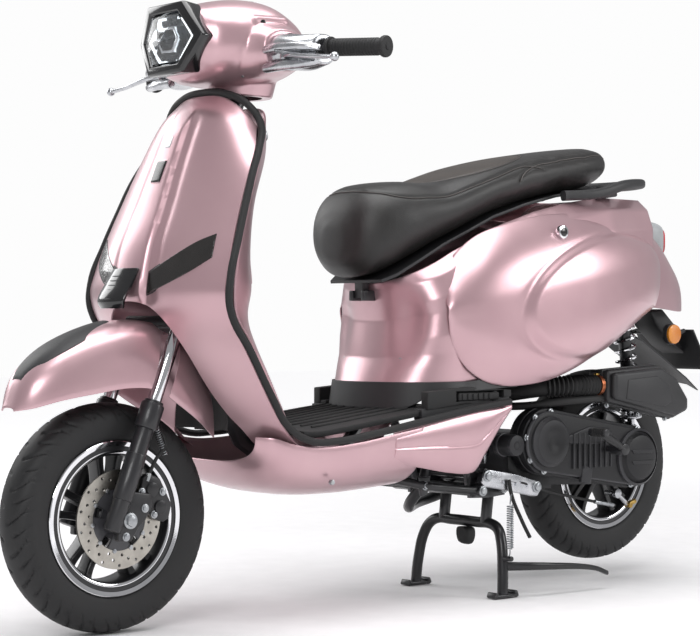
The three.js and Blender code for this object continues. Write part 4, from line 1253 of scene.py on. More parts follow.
@dataclass
class FrontBrake:
    """The drilled disc on the front wheel, its carrier and its caliper."""

    y: float = 0.0
    z: float = 215.0
    x: float = 47.0
    disc_radius: float = 92.0
    band: float = 34.0
    hole_radius: float = 3.1
    holes: int = 42
    rivet_ring: float = 58.0

    def build(self) -> None:
        """Makes the disc, carrier, caliper and brake line."""
        wheel, leg = Kit("front_wheel"), Kit("fork_lower")
        inner = self.disc_radius - self.band
        disc = turned(
            [
                (inner, self.x - 2), (self.disc_radius, self.x - 2), (self.disc_radius, self.x + 2),
                (inner, self.x + 2),
            ],
            self.y, self.z,
        )
        drills = gathered(*[self.drill(i) for i in range(self.holes)])
        wheel.add(cut(disc, drills), "drilled_disc", GROUND_STEEL, ["brake_disc"])
        carrier = turned(
            [(22, self.x - 1.6), (63, self.x - 1.6), (63, self.x + 1.6), (22, self.x + 1.6)],
            self.y, self.z, sides=64,
        )
        window = block((self.x - 9, self.x + 9), (-9, 9), (self.z + 40, self.z + 56), 3.0)
        windows = spun(window, 5, self.y, self.z)
        rivet = rod_x(self.x + 1, self.x + 4, 11, self.z + self.rivet_ring, 4.2, edge=0.5, sides=20)
        buttons = spun(rivet, 10, self.y, self.z)
        wheel.add(cut(carrier, windows), "disc_carrier", BLACK_ENAMEL)
        wheel.add(buttons, "disc_rivets", ZINC)
        self.caliper(leg)

    def drill(self, number: int) -> Piece:
        """Makes one drill of the slanting rows of holes.

        Args:
            number: Which hole.

        Returns:
            The tool.
        """
        row = number % 3
        angle = 2 * math.pi * (number / self.holes) + 0.03 * row
        radius = self.disc_radius - 7 - 9.5 * row
        y, z = self.y + radius * math.sin(angle), self.z + radius * math.cos(angle)
        return rod_x(self.x - 6, self.x + 6, y, z, self.hole_radius, edge=0, sides=14)

    def caliper(self, kit: Kit) -> None:
        """Makes the two-piece caliper behind the leg, its bolts and its brake line.

        Args:
            kit: The body that carries it.
        """
        rows = [(56, 0.5), (70, 0.9), (86, 1.0), (98, 0.86), (107, 0.45)]
        halves = []
        for x0, x1, reach in ((self.x - 12, self.x - 4, 0.85), (self.x + 4, self.x + 22, 1.0)):
            outline = [self.polar(r, 62 + 34 * reach * s) for r, s in rows]
            outline += [self.polar(r, 62 - 34 * reach * s) for r, s in rows[::-1]]
            halves.append(slab(outline, x0, x1, 3.0))
        bridge = [self.polar(98, 90), self.polar(107, 80), self.polar(107, 44), self.polar(98, 34)]
        halves.append(slab(bridge, self.x - 10, self.x + 14, 1.5))
        ports = [rod_x(self.x + 18, self.x + 26, *self.polar(80, a), 13, edge=1.2) for a in (48, 76)]
        body = gathered(*halves, *ports)
        kit.add(body, "caliper_body", BLACK_ENAMEL, ["brake_caliper"])
        bolts = [
            bolt((self.x + 22, *self.polar(r, a)), (1, 0, 0), 5.5, 5)
            for r, a in ((62, 36), (64, 84), (96, 60))
        ]
        kit.add(gathered(*bolts), "caliper_bolts", ZINC)
        high = self.polar(100, 34)
        line = pipe(
            [
                (self.x + 18, *high), (self.x + 20, high[0] + 14, high[1] + 26), (66, 92, 352),
                (60, 70, 392), (62, 60, 424),
            ],
            3.4,
        )
        union = rod((self.x + 18, high[0] - 6, high[1] - 14), (self.x + 18, *high), 5, edge=0.6)
        guard = coil((64, 93, 330), (61, 73, 386), 5.0, 0.9, 14)
        kit.add(line, "front_brake_line", RUBBER, slot="black_metal")
        kit.add(gathered(union, guard), "brake_line_fittings", ZINC)

    def polar(self, radius: float, degrees: float) -> tuple[float, float]:
        """Finds a place round the axle, 0 degrees up and 90 rearward."""
        angle = math.radians(degrees)
        return self.y + radius * math.sin(angle), self.z + radius * math.cos(angle)


# ------------------------------------------------------------------ fork


@dataclass
class Fork:
    """The telescopic fork: stem, crown, stanchions and lower legs."""

    leg_x: float = 74.0
    offset: float = -17.0
    leg_radius: float = 17.0
    foot: float = 205.0
    top: float = 450.0
    crown: float = 600.0
    axle_z: float = 215.0

    def build(self) -> None:
        """Makes the sprung and the unsprung parts."""
        lower, upper = Kit("fork_lower"), Kit("steering")
        legs = both(self.leg())
        axle = rod_x(-self.leg_x - 6, self.leg_x + 6, 0, self.axle_z, 8)
        lower.add(gathered(legs, axle), "fork_legs", BLACK_ENAMEL, ["fork_lowers"])
        ends = [bolt((s * (self.leg_x + 10), 0, self.axle_z), (s, 0, 0), 11, 9) for s in (-1, 1)]
        lugs = [bolt((self.leg_x + 9, y, z), (1, 0, 0), 6, 4) for y, z in ((34, 236), (-8, 186))]
        lower.add(gathered(*ends, *lugs), "axle_nuts", ZINC)
        tubes = [
            rod(self.place(s, self.top - 30), self.place(s, self.crown + 8), 13) for s in (-1, 1)
        ]
        upper.add(gathered(*tubes), "stanchions", CHROME, ["fork_upper"])
        yoke = block(
            (-self.leg_x - 22, self.leg_x + 22), (-20, 20), (-13, 13), 6.0,
            turn=(-math.degrees(RAKE), 0, 0),
        )
        y, z = on_steering(self.crown + 13, -8)
        yoke.location = at(0, y, z) - at(0, 0, 0)
        set_down(yoke)
        y0, z0 = on_steering(self.crown + 10)
        y1, z1 = on_steering(1078 / math.cos(RAKE))
        stem = rod((0, y0, z0), (0, y1, z1), 15)
        upper.add(gathered(yoke, stem), "fork_yoke", BLACK_ENAMEL)

    def place(self, side: int, height: float) -> tuple[float, float, float]:
        """Finds a place on one leg's own line."""
        return (side * self.leg_x, *on_steering(height, self.offset))

    def leg(self) -> Piece:
        """Makes the left lower leg with its stepped collar and axle plate.

        Returns:
            The new piece.
        """
        tube = rod(self.place(1, self.foot), self.place(1, self.top), self.leg_radius, edge=3)
        slim, collar, lip = (
            rod(self.place(1, low), self.place(1, high), self.leg_radius + more, edge=edge)
            for low, high, more, edge in (
                (self.foot + 60, self.foot + 150, 2.0, 2), (self.top - 46, self.top + 4, 5, 4),
                (self.top - 2, self.top + 9, 1, 2),
            )
        )
        plate = [
            (-24, 178), (4, 176), (20, 200), (36, 214), (52, 240), (48, 262), (10, 268), (-20, 262),
        ]
        return gathered(tube, slim, collar, lip, slab(plate, self.leg_x - 8, self.leg_x + 9, 3.0))


@dataclass
class FrontFender:
    """The pressed fender over the front wheel, with its dark crown insert."""

    rows: tuple[Row, ...] = (
        (-206, 424, 418, 20), (-180, 484, 424, 48), (-134, 524, 437, 68), (-70, 556, 448, 79),
        (0, 577, 457, 84), (60, 580, 452, 85), (110, 570, 424, 83), (160, 540, 392, 77),
        (206, 470, 358, 63),
    )

    def build(self) -> None:
        """Makes the shell and the insert."""
        kit = Kit("steering")
        shell = panel(self.surface(90, 64), 2.6)
        low, high = on_steering(330, -17), on_steering(640, -17)
        stems = [rod((s * 74, *low), (s * 74, *high), 24.5, edge=0) for s in (-1, 1)]
        slot = block((-101, 101), (-27, 27), (-10, 60), 8.0, turn=(-math.degrees(RAKE), 0, 0))
        y, z = on_steering(603, -8)
        slot.location = at(0, y, z) - at(0, 0, 0)
        set_down(slot)
        kit.add(
            cut(shell, *stems, slot), "fender_shell", ROSE_LACQUER, ["front_fender"], 40.0
        )
        kit.add(self.insert(), "fender_insert", GRAINED_PLASTIC)

    def surface(
        self, fine: int, columns: int, span: tuple[float, float] = (0.0, math.pi),
        lift: float = 0.0,
    ) -> np.ndarray:
        """Gives the fender's outer face as a grid.

        Args:
            fine: Rows along it.
            columns: Points across it.
            span: The part of the arch that is covered, in radians.
            lift: How far above the face the grid lies.

        Returns:
            Rows of points in millimetres.
        """
        grid = []
        for y, top, low, wide in smooth_rows(self.rows, fine):
            angle = np.linspace(*span, columns)
            c, s = np.cos(angle), np.sin(angle)
            x = wide * np.sign(c) * np.abs(c) ** 0.75
            crease = 2.4 * np.exp(-(((s - 0.72) / 0.1) ** 2))
            z = low + (top - low) * np.abs(s) ** 0.75 + crease * step(-180, -60, y)
            grid.append(np.stack([x * (1 + lift / 90), np.full(columns, y), z + lift], axis=1))
        return np.array(grid)

    def insert(self) -> Piece:
        """Makes the dark leaf-shaped insert that lies on the crown.

        Returns:
            The new piece.
        """
        grid = self.surface(60, 25, (math.pi / 2 - 0.62, math.pi / 2 + 0.62), 2.2)[6:31]
        share = np.linspace(0, 1, len(grid))
        for row, t in zip(grid, share):
            row[:, 0] *= 0.42 + 0.55 * math.sin(math.pi * (0.12 + 0.82 * t)) ** 0.8
        return panel(grid, 2.6, 1.0)


# ------------------------------------------------------------------ handlebar


@dataclass
class Handlebar:
    """The bar with its grips, silver switch housings, levers and buttons."""

    bend_x: float = 110.0
    end_x: float = 364.0
    middle: tuple[float, float] = (305.0, 1094.0)
    end: tuple[float, float] = (372.0, 1077.0)
    grip_radius: float = 16.5
    grip_length: float = 122.0
    grip_ribs: int = 15
    pivot: tuple[float, float, float] = (204.0, 268.0, 1066.0)
    ball: tuple[float, float, float] = (357.0, 256.0, 1050.0)

    def on_bar(self, x: float) -> tuple[float, float, float]:
        """Finds a place on the bar.

        Args:
            x: Distance across the scooter.

        Returns:
            Its x, y and z in millimetres.
        """
        share = (abs(x) - self.bend_x) / (self.end_x - self.bend_x)
        y, z = (a + share * (b - a) for a, b in zip(self.middle, self.end))
        return x, y, z

    def build(self) -> None:
        """Makes both sides."""
        kit = Kit("steering")
        dress("handlebar_tube", BLACK_ENAMEL)
        for side, name, grip_body in ((1, "left", "steering"), (-1, "right", "throttle")):
            Kit(grip_body).add(self.grip(side), f"ribbed_grip_{name}", RUBBER, [f"grip_{name}"])
            housing = self.housing(side)
            kit.add(housing, f"cast_housing_{name}", CAST_ALUMINIUM, [f"switch_housing_{name}"])
            Kit(f"lever_{name}").add(
                self.lever(side), f"ball_end_lever_{name}", CAST_ALUMINIUM, [f"brake_lever_{name}"]
            )
            low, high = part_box("horn_button" if side > 0 else "start_button")
            x, y, z = (
                ((a - shift) / MM - 2.5, (b - shift) / MM + 2.5)
                for a, b, shift in zip(low, high, (0.0, FRONT_AXLE_Y, 0.0))
            )
            block_piece = cut(self.switches(side), block(x, y, z, 0.0))
            kit.add(block_piece, f"switch_block_{name}", GRAINED_PLASTIC)
        Kit("horn_switch").refine("horn_button", AMBER_LENS, 1.0)
        Kit("start_switch").refine("start_button", RED_LENS, 1.0)

    def grip(self, side: int) -> Piece:
        """Makes a ribbed rubber grip with its end flange.

        Args:
            side: 1 for the left, -1 for the right.

        Returns:
            The new piece.
        """
        inner, end, radius = self.end_x - self.grip_length, self.end_x, self.grip_radius
        stretches = [(inner, end - 2, radius - 0.8, 1, 40)]
        for i in range(self.grip_ribs):
            x = inner + 12 + 6.4 * i
            stretches.append((x, x + 4.2, radius, 0.8, 32))
        stretches += [
            (inner, inner + 7, radius + 3.4, 1.5, 40), (end - 6, end + 4, radius + 3.5, 3, 40),
            (end + 2, end + 6, 6.5, 1.2, 40),
        ]
        return gathered(*[
            rod(self.on_bar(side * x0), self.on_bar(side * x1), wide, edge=edge, sides=sides)
            for x0, x1, wide, edge, sides in stretches
        ])

    def housing(self, side: int) -> Piece:
        """Makes the flowing housing that clamps the bar and holds the lever.

        Args:
            side: 1 for the left, -1 for the right.

        Returns:
            The new piece.
        """
        px, py, pz = self.pivot
        stations = []
        for at_x, ahead, below, deep, high in (
            (140, 2, 8, 44, 34), (170, 8, 8, 46, 34), (205, 14, 10, 40, 33), (236, 4, 3, 27, 28)
        ):
            x, y, z = self.on_bar(at_x)
            stations.append((x, y - ahead, z - below, deep, high))
        body = crosswise(stations, side, 20, 2.6)
        jaws = [
            pipe(
                [
                    (side * 150, 262, pz + s * 17), (side * (px - 8), py - 8, pz + s * 17),
                    (side * (px + 44), py + 10, pz + s * 15),
                    (side * (px + 66), py + 28, pz + s * 9),
                ],
                9.5, sides=4,
            )
            for s in (-1, 1)
        ]
        perch = rod((side * px, py, pz - 24), (side * px, py, pz + 24), 13, edge=3)
        whole = gathered(body, *jaws, perch)
        modified(whole, "REMESH", mode="VOXEL", voxel_size=2.4 * MM)
        modified(whole, "SMOOTH", factor=0.5, iterations=5)
        bore = rod(self.on_bar(side * 120), self.on_bar(side * 262), 11.6, edge=0)
        slot = block(
            (side * (px - 16), side * (px + 130)), (py - 40, py + 44), (pz - 13, pz + 9), 2.0,
            turn=(0, side * 4, 0),
        )
        return cut(whole, bore, slot)

    def lever(self, side: int) -> Piece:
        """Makes a cast lever with its pivot boss and ball end.

        Args:
            side: 1 for the left, -1 for the right.

        Returns:
            The new piece.
        """
        px, py, pz = self.pivot
        bx, by, bz = self.ball
        boss = rod((side * px, py, pz - 5), (side * px, py, pz + 5), 11, edge=1.5)
        route = [
            (px, py, pz, 9, 5), (px + 26, py - 9, pz - 1, 7.5, 4.5),
            (px + 60, py - 10, pz - 5, 7, 4.2),
            (px + 110, py - 7, pz - 11, 6, 4.2), (bx, by, bz, 5, 4.4),
        ]
        tip = set_down(ball((side * bx, by, bz), 8.5, 32, 20))
        return gathered(crosswise(route, side, 26, 2.4, 24), boss, tip)

    def switches(self, side: int) -> Piece:
        """Makes the dark switch face with its rocker on the rider's side.

        Args:
            side: 1 for the left, -1 for the right.

        Returns:
            The new piece.
        """
        x, y, z = self.on_bar(side * 186)
        plate = block((x - 22, x + 22), (y + 24, y + 33), (z - 14, z + 22), 4.0)
        rocker = block((x - 16, x + 4), (y + 31, y + 37), (z + 8, z + 16), 2.0)
        slide = rod((x + 12, y + 30, z + 12), (x + 12, y + 38, z + 12), 4, edge=1)
        return gathered(plate, rocker, slide)


@dataclass
class Headset:
    """The lamp and instrument cover round the bar."""

    stations: tuple[Row, ...] = (
        (170, 1109, 84, 58, 2.6), (192, 1106, 106, 70, 2.5), (232, 1108, 122, 79, 2.4),
        (282, 1110, 128, 84, 2.3), (332, 1110, 128, 80, 2.3), (376, 1105, 118, 64, 2.3),
        (404, 1101, 98, 46, 2.3),
    )
    neck: tuple[Row, ...] = (
        (319, 1010, 62, 52), (320, 1046, 70, 60), (318, 1080, 78, 66),
    )
    dial_middle: tuple[float, float, float] = (0.0, 366.0, 1158.0)
    dial_lean: float = -0.75

    def build(self) -> None:
        """Makes the cover, headlamp and instrument."""
        self.kit = Kit("steering")
        self.cover()
        self.headlamp()
        self.instrument()

    def cover(self) -> None:
        """Makes the one-piece painted cover with its wings, neck and mirror bosses."""
        body = loft(self.stations, fine=30)
        parts = [body, self.neck_piece(), *[self.wing(side) for side in (-1, 1)]]
        parts += [self.boss(side) for side in (-1, 1)]
        whole = gathered(*parts)
        modified(whole, "REMESH", mode="VOXEL", voxel_size=2.6 * MM)
        modified(whole, "SMOOTH", factor=0.5, iterations=7)
        mouth = self.hexagon(74, 46, 140, 200)
        dial = self.dial(55, -8, 50)
        bars = [
            rod((side * 100, 303, 1094), (side * 240, 340, 1085), 29, edge=0) for side in (-1, 1)
        ]
        core = loft(
            [
                (y - 6 * (y < 180), z, wide - 6, high - 6, square)
                for y, z, wide, high, square in self.stations[:-1]
            ],
            sides=40, fine=16,
        )
        column = rod((0, *on_steering(1000)), (0, *on_steering(1180)), 44, edge=0)
        cut(whole, mouth, core, dial, *bars, column)
        self.kit.add(whole, "headset_shell", ROSE_LACQUER, ["headset_cover"], 45.0)
        screws = [
            rod((s * x, y, z), (s * x, y - 3, z - 5), 4.5, edge=1, sides=20)
            for s in (-1, 1) for x, y, z in ((50, 196, 1049), (84, 260, 1045))
        ]
        self.kit.add(gathered(*screws), "headset_screws", ZINC)
        holes = gathered(*[
            rod((s * 101, 280, 1140), (s * 126.5, 276, 1138), 6, edge=0.5, sides=24) for s in (-1, 1)
        ])
        self.kit.add(holes, "mirror_hole_plugs", GLOSS_PLASTIC, slot="black_plastic")
        vent = both(self.vent())
        self.kit.add(vent, "neck_vents", GRAINED_PLASTIC)

    def vent(self) -> Piece:
        """Makes the leaf-shaped dark vent under the left wing.

        Returns:
            The new piece.
        """
        rings = []
        for t in np.linspace(0, 1, 14):
            wide = 9 * math.sin(math.pi * (0.04 + 0.92 * t)) ** 0.7
            section = oval(3.0, wide, 2.2, 20)
            rings.append([(73 + 2 * t + a, 296 + 40 * t, 1040 + 12 * t + b) for a, b in section])
        return skin(np.array(rings))

    def neck_piece(self) -> Piece:
        """Makes the neck that drops to the top of the leg shield.

        Returns:
            The new piece.
        """
        rings = []
        for y, z, deep, wide in smooth_rows(self.neck, 16):
            section = oval(wide, deep, 2.3, 48)
            rings.append(np.stack([section[:, 0], y + section[:, 1], np.full(48, z)], axis=1))
        return skin(np.array(rings))

    def wing(self, side: int) -> Piece:
        """Makes the wing that reaches out to a switch housing."""
        stations = [
            (60, 290, 1096, 84, 62), (100, 300, 1093, 76, 56), (135, 306, 1090, 60, 46),
            (158, 304, 1086, 48, 38),
        ]
        return crosswise(stations, side, 20, 2.4)

    def boss(self, side: int) -> Piece:
        """Makes the flat-faced block that takes a mirror stem.

        Args:
            side: 1 for the left, -1 for the right.

        Returns:
            The new piece.
        """
        middle = side * 103
        sides = (middle - 24, middle + 24)
        return block(sides, (254, 344), (1084, 1152), 9.0, turn=(2, -side * 6, 0))

    def hexagon(self, wide: float, high: float, front: float, back: float) -> Piece:
        """Makes a solid with the headlamp's six-sided outline.

        Args:
            wide: Its half width.
            high: Its half height.
            front: Where it begins.
            back: Where it ends.

        Returns:
            The new piece.
        """
        near, far = (self.corners(wide, high, y, 0.0) for y in (front, back))
        points = [*near, *far]
        faces = [tuple(range(6)), tuple(range(6, 12))]
        faces += [(i, (i + 1) % 6, 6 + (i + 1) % 6, 6 + i) for i in range(6)]
        return outward(from_faces(points, faces))

    def corners(self, wide: float, high: float, y: float, sweep: float) -> list[tuple]:
        """Lists the six corners of the headlamp's outline."""
        shares = ((1, 0), (0.55, 1), (-0.55, 1), (-1, 0), (-0.55, -1), (0.55, -1))
        return [(a * wide, y + sweep * abs(a) * wide, 1109 + b * high) for a, b in shares]

    def ring(self, loops: Sequence, edge: float) -> Piece:
        """Joins loops of corners into a closed frame and rounds it.

        Args:
            loops: Six corners each, round the frame's section.
            edge: The rounding of its edges.

        Returns:
            The new piece.
        """
        points = [p for loop in loops for p in loop]
        count = len(loops)
        faces = []
        for r in range(count):
            for i in range(6):
                j, n = (i + 1) % 6, (r + 1) % count
                faces.append((r * 6 + i, r * 6 + j, n * 6 + j, n * 6 + i))
        return rounded(outward(from_faces(points, faces)), edge, 3, 20.0)

    def headlamp(self) -> None:
        """Makes the black bezel, reflector, light guide, projector and clear cover."""
        hexes = self.corners
        bezel = self.ring(
            [
                hexes(97, 63, 182, 0), hexes(102, 67, 128, 0.3), hexes(99, 65, 120, 0.32),
                hexes(80, 50, 121, 0.32), hexes(72, 44, 146, 0.14), hexes(72, 44, 182, 0),
            ],
            3.0,
        )
        self.kit.add(bezel, "bezel_frame", GLOSS_PLASTIC, ["headlight_bezel"], 25.0)
        tub = self.ring(
            [
                hexes(71, 43, 176, 0), hexes(71, 43, 150, 0.12), hexes(67, 40, 150, 0.12),
                hexes(40, 26, 176, 0),
            ],
            1.0,
        )
        self.kit.add(tub, "reflector_tub", MIRROR_BOWL, angle=20.0)
        back = self.hexagon(50, 32, 174, 180)
        self.kit.add(back, "lamp_back", DARK_SCREEN, angle=20.0)
        guide = self.ring(
            [
                hexes(wide, high, y, 0.12)
                for wide, high, y in ((64, 38.5, 148), (64, 38.5, 153), (58, 34, 153), (58, 34, 148))
            ],
            1.2,
        )
        gap = block((-20, 20), (120, 190), (1138, 1152), 0)
        low = block((-14, 14), (120, 190), (1066, 1080), 0)
        self.kit.add(cut(guide, gap, low), "light_guide", LIGHT_GUIDE, angle=25.0)
        frame_ring = self.ring(
            [
                hexes(wide, high, y, 0)
                for wide, high, y in ((31, 23, 146), (31, 23, 172), (25, 18, 172), (25, 18, 146))
            ],
            1.6,
        )
        self.kit.add(frame_ring, "projector_frame", CHROME, angle=25.0)
        glass = ball((0, 166, 1109), 22, 40, 24)
        glass.scale = (1.0, 0.75, 0.78)
        self.kit.add(set_down(glass), "projector_lens", MIRROR_BOWL)
        faces = [
            [(x, y + further, z) for x, y, z in hexes(72, 44, 130, 0.22)] for further in (0.0, 3.0)
        ]
        glass_cover = self.ring([*faces, hexes(0.5, 0.5, 131, 0), hexes(0.5, 0.5, 127, 0)], 0.4)
        self.kit.add(glass_cover, "lamp_cover_glass", CLEAR_LENS, ["headlight_lens"], 25.0)

    def dial(self, radius: float, low: float, high: float) -> Piece:
        """Makes a round solid square to the sloping instrument face.

        Args:
            radius: Its radius.
            low: Where it begins, counted outward from the face.
            high: Where it ends.

        Returns:
            The new piece.
        """
        way = (0.0, -math.sin(self.dial_lean), math.cos(self.dial_lean))
        start, end = ([b + far * w for b, w in zip(self.dial_middle, way)] for far in (low, high))
        return rod(start, end, radius, edge=0, sides=72)

    def instrument(self) -> None:
        """Makes the round instrument: body, trim ring, window and number-free scale."""
        body = rounded(self.dial(50, -12, 3), 2.0)
        self.kit.add(body, "instrument_body", GLOSS_PLASTIC, ["speedometer"])
        trim = cut(self.dial(52, 2, 7.5), self.dial(46, -1, 12))
        self.kit.add(rounded(trim, 1.2, 2, 50), "instrument_trim", CHROME)
        window = rounded(self.dial(46, 2.4, 4.6), 0.8)
        self.kit.add(window, "instrument_window", DARK_SCREEN)
        ticks = []
        _, y, z = self.dial_middle
        c, s = math.cos(self.dial_lean), math.sin(self.dial_lean)
        for i in range(25):
            angle = math.radians(-130 + i * 260 / 24)
            ends = []
            for radius in (36.0, 41.0 if i % 2 else 43.0):
                a, b = radius * math.sin(angle), radius * math.cos(angle)
                ends.append((a, y - b * c - 5.0 * s, z - b * s + 5.0 * c))
            ticks.append(rod(ends[0], ends[1], 0.7, edge=0, sides=6))
        self.kit.add(gathered(*ticks), "instrument_ticks", LIGHT_GUIDE)


# ------------------------------------------------------------------ front body

EDGE_LINE: tuple[Row, ...] = (
    (0, 228, 1015), (75, 232, 1006), (125, 242, 982), (152, 250, 945), (178, 226, 900),
    (194, 198, 850), (206, 172, 790), (218, 146, 726), (228, 121, 655), (228, 121, 600),
    (217, 178, 520), (208, 232, 440), (204, 272, 385), (201, 330, 354), (198, 400, 351),
    (194, 500, 362), (190, 610, 378), (188, 768, 402), (186, 872, 414),
)


@dataclass
class FrontBody:
    """The leg shield with its spine, lamps, horn panel, trim and knee-side panel."""

    apron: tuple[Row, ...] = (
        (1006, 940, 144, 222, 246), (968, 905, 166, 184, 226), (890, 862, 184, 148, 200),
        (800, 796, 197, 110, 170), (726, 726, 209, 78, 142), (672, 672, 217, 64, 124),
        (632, 632, 220, 58, 115), (585, 585, 217, 64, 128), (520, 520, 208, 86, 174),
        (455, 455, 200, 128, 218), (405, 405, 195, 176, 252), (376, 376, 193, 214, 276),
        (350, 350, 191, 240, 304), (332, 332, 190, 262, 336),
    )
    inner: tuple[Row, ...] = (
        (990, 925, 142, 254, 66), (900, 880, 168, 226, 88), (800, 796, 192, 184, 92),
        (700, 700, 207, 146, 125), (640, 640, 213, 132, 145), (590, 590, 212, 138, 125),
        (540, 540, 206, 176, 92), (470, 470, 198, 222, 84), (424, 424, 192, 252, 78),
        (400, 400, 188, 270, 70),
    )
    arch_half_width: float = 114.0
    arch_top: float = 616.0
    horn_rows: tuple[Row, ...] = ((676, 40, 41), (650, 43, 25), (618, 42, 6), (603, 36, 9))
    signal_rows: tuple[Row, ...] = (
        (0.86, 738, 694), (0.70, 724, 672), (0.50, 700, 650), (0.24, 668, 628),
    )

    def build(self) -> None:
        """Makes every piece of the front body."""
        self.kit = Kit("chassis")
        self.shield()
        self.spine_badges()
        self.trim()
        self.horn_panel()
        self.signals()
        self.knee_panel()
        liner = self.kit.refine("wheel_arch_liner", LINER, 0.6)
        liner.name = "arch_liner"

    def face(self, fine: int, columns: int, lift: float = 0.0) -> np.ndarray:
        """Gives the shield's outer face with its raised spine.

        Args:
            fine: Rows from top to bottom.
            columns: Points across.
            lift: How far in front of the face the grid lies.

        Returns:
            Rows of points in millimetres.
        """
        grid = []
        share = np.linspace(1, -1, columns)
        for middle_z, edge_z, wide, middle_y, edge_y in smooth_rows(self.apron, fine):
            z = middle_z + (edge_z - middle_z) * np.abs(share) ** 3
            y = middle_y + (edge_y - middle_y) * share**2 - lift
            x = wide * share
            grid.append(np.stack([x, y - self.spine(x, z), z], axis=1))
        return np.array(grid)

    def spine(self, x: np.ndarray, z: np.ndarray) -> np.ndarray:
        """Works out how far the spine stands out of the shield.

        Args:
            x: Distance across.
            z: Height.

        Returns:
            The height of the spine in millimetres.
        """
        half = 25 + 16 * step(940, 690, z)
        side = 1 - step(half, half + 6, np.abs(x))
        hollow = np.exp(-(((np.abs(x) - half - 20) / 13) ** 2))
        tall = step(985, 930, z) * step(598, 632, z)
        return (9.0 * side - 3.6 * hollow) * tall

    def arch(self) -> Piece:
        """Makes the solid that opens the shield for the wheel.

        Returns:
            The tool.
        """
        wide, top = self.arch_half_width, self.arch_top
        rings = []
        for y in (-60.0, 420.0):
            arc = []
            for a in np.linspace(0, math.pi, 40):
                x = wide * math.copysign(abs(math.cos(a)) ** 0.8, math.cos(a))
                arc.append((x, y, top - 130 + 130 * math.sin(a) ** 0.9))
            rings.append([(wide, y, 240.0), *arc, (-wide, y, 240.0)])
        return skin(np.array(rings))

    def shield(self) -> None:
        """Makes the painted shield."""
        shell = cut(panel(self.face(110, 121), 3.0, 0.0), self.arch())
        self.kit.add(shell, "painted_leg_shield", ROSE_LACQUER, ["leg_shield"], 40.0)

    def patch(self, x: Row, z: Row, wall: float, lift: float, rim: float = 1.2) -> Piece:
        """Makes a thin piece that follows the shield's face.

        Args:
            x: Its two sides.
            z: Its bottom and top.
            wall: Its thickness.
            lift: How far in front of the face it lies.
            rim: The rounding of its rim.

        Returns:
            The new piece.
        """
        face = self.face(200, 161, lift)
        inside = (face[:, 80, 2] >= z[0]) & (face[:, 80, 2] <= z[1])
        rows = face[inside]
        grid = []
        for row in rows[:: max(1, len(rows) // 14)]:
            row = row[np.argsort(row[:, 0])]
            across = np.linspace(*x, 10)
            others = [np.interp(across, row[:, 0], row[:, k]) for k in (1, 2)]
            grid.append(np.stack([across, *others], axis=1))
        return panel(np.array(grid), wall, rim)

    def spine_badges(self) -> None:
        """Makes the plain plates on the spine and its panel seam."""
        plate = self.patch((-15, 15), (838, 884), 3.0, 2.0)
        self.kit.add(plate, "spine_plate", GLOSS_PLASTIC)
        frame_plate = self.patch((-18, 18), (834, 888), 2.0, 0.6)
        self.kit.add(frame_plate, "spine_plate_rim", ROSE_LACQUER)
        crest = self.patch((-9, 9), (905, 930), 2.0, 1.0)
        self.kit.add(crest, "spine_crest", CAST_ALUMINIUM)

    def trim(self) -> None:
        """Makes the rubber channel round the shield's and the floor's edge."""
        right = [(-x, y, z) for x, y, z in EDGE_LINE[:0:-1]]
        channel = pipe([*right, *EDGE_LINE], 7.2, fine=8, sides=3)
        self.kit.add(channel, "edge_channel", RUBBER, ["edge_trim"], 50.0)

    def horn_panel(self) -> None:
        """Makes the gloss panel over the horn with its fine louvres."""
        rows = []
        for z, wide, y in smooth_rows(self.horn_rows, 24):
            share = np.linspace(-1, 1, 21)
            rows.append(np.stack([-wide * share, y + 12 * share**2, np.full(21, z)], axis=1))
        cover = panel(np.array(rows), 8.0, 2.0)
        self.kit.add(cover, "horn_grille_panel", GLOSS_PLASTIC, ["horn_cover"])
        ribs = []
        for i in range(6):
            z = 662 - 8.5 * i
            y = read_off([(row[0], row[2]) for row in self.horn_rows[::-1]], z) - 4.2
            ribs.append(pipe([(-30, y + 7, z), (0, y, z), (30, y + 7, z)], 1.5, fine=8, sides=2))
        self.kit.add(gathered(*ribs), "horn_grille_ribs", GRAINED_PLASTIC)

    def signals(self) -> None:
        """Makes the smoked lamps and their dark frames in the shield."""
        for side, name in ((1, "left"), (-1, "right")):
            for grow, wall, lift, label, finish in (
                (1.0, 5.0, 1.2, "smoked_lamp", SMOKED_LENS),
                (1.14, 3.0, -0.4, "lamp_frame", GRAINED_PLASTIC),
            ):
                stands_for = [f"front_signal_{name}"] if grow == 1.0 else []
                piece = panel(self.lamp_grid(side, grow, lift), wall, 1.4)
                self.kit.add(piece, f"{label}_{name}", finish, stands_for)

    def lamp_grid(self, side: int, grow: float, lift: float) -> np.ndarray:
        """Gives a lamp's face on the shield as a grid.

        Args:
            side: 1 for the left, -1 for the right.
            grow: Its size as a share of the lamp's own.
            lift: How far in front of the shield it lies.

        Returns:
            Rows of points in millimetres.
        """
        table = self.apron[::-1]
        heights = [row[0] for row in table]
        rows = []
        for share, top, low in smooth_rows(self.signal_rows, 22):
            middle = (top + low) / 2
            z = np.linspace(middle + grow * (top - middle), middle + grow * (low - middle), 14)
            share = 0.55 + (share - 0.55) * (1 + (grow - 1) * 0.35)
            wide, mid_y, edge_y = (
                np.interp(z, heights, [row[k] for row in table]) for k in (2, 3, 4)
            )
            y = mid_y + (edge_y - mid_y) * share**2 - lift
            rows.append(np.stack([side * wide * share, y, z], axis=1))
        return np.array(rows)

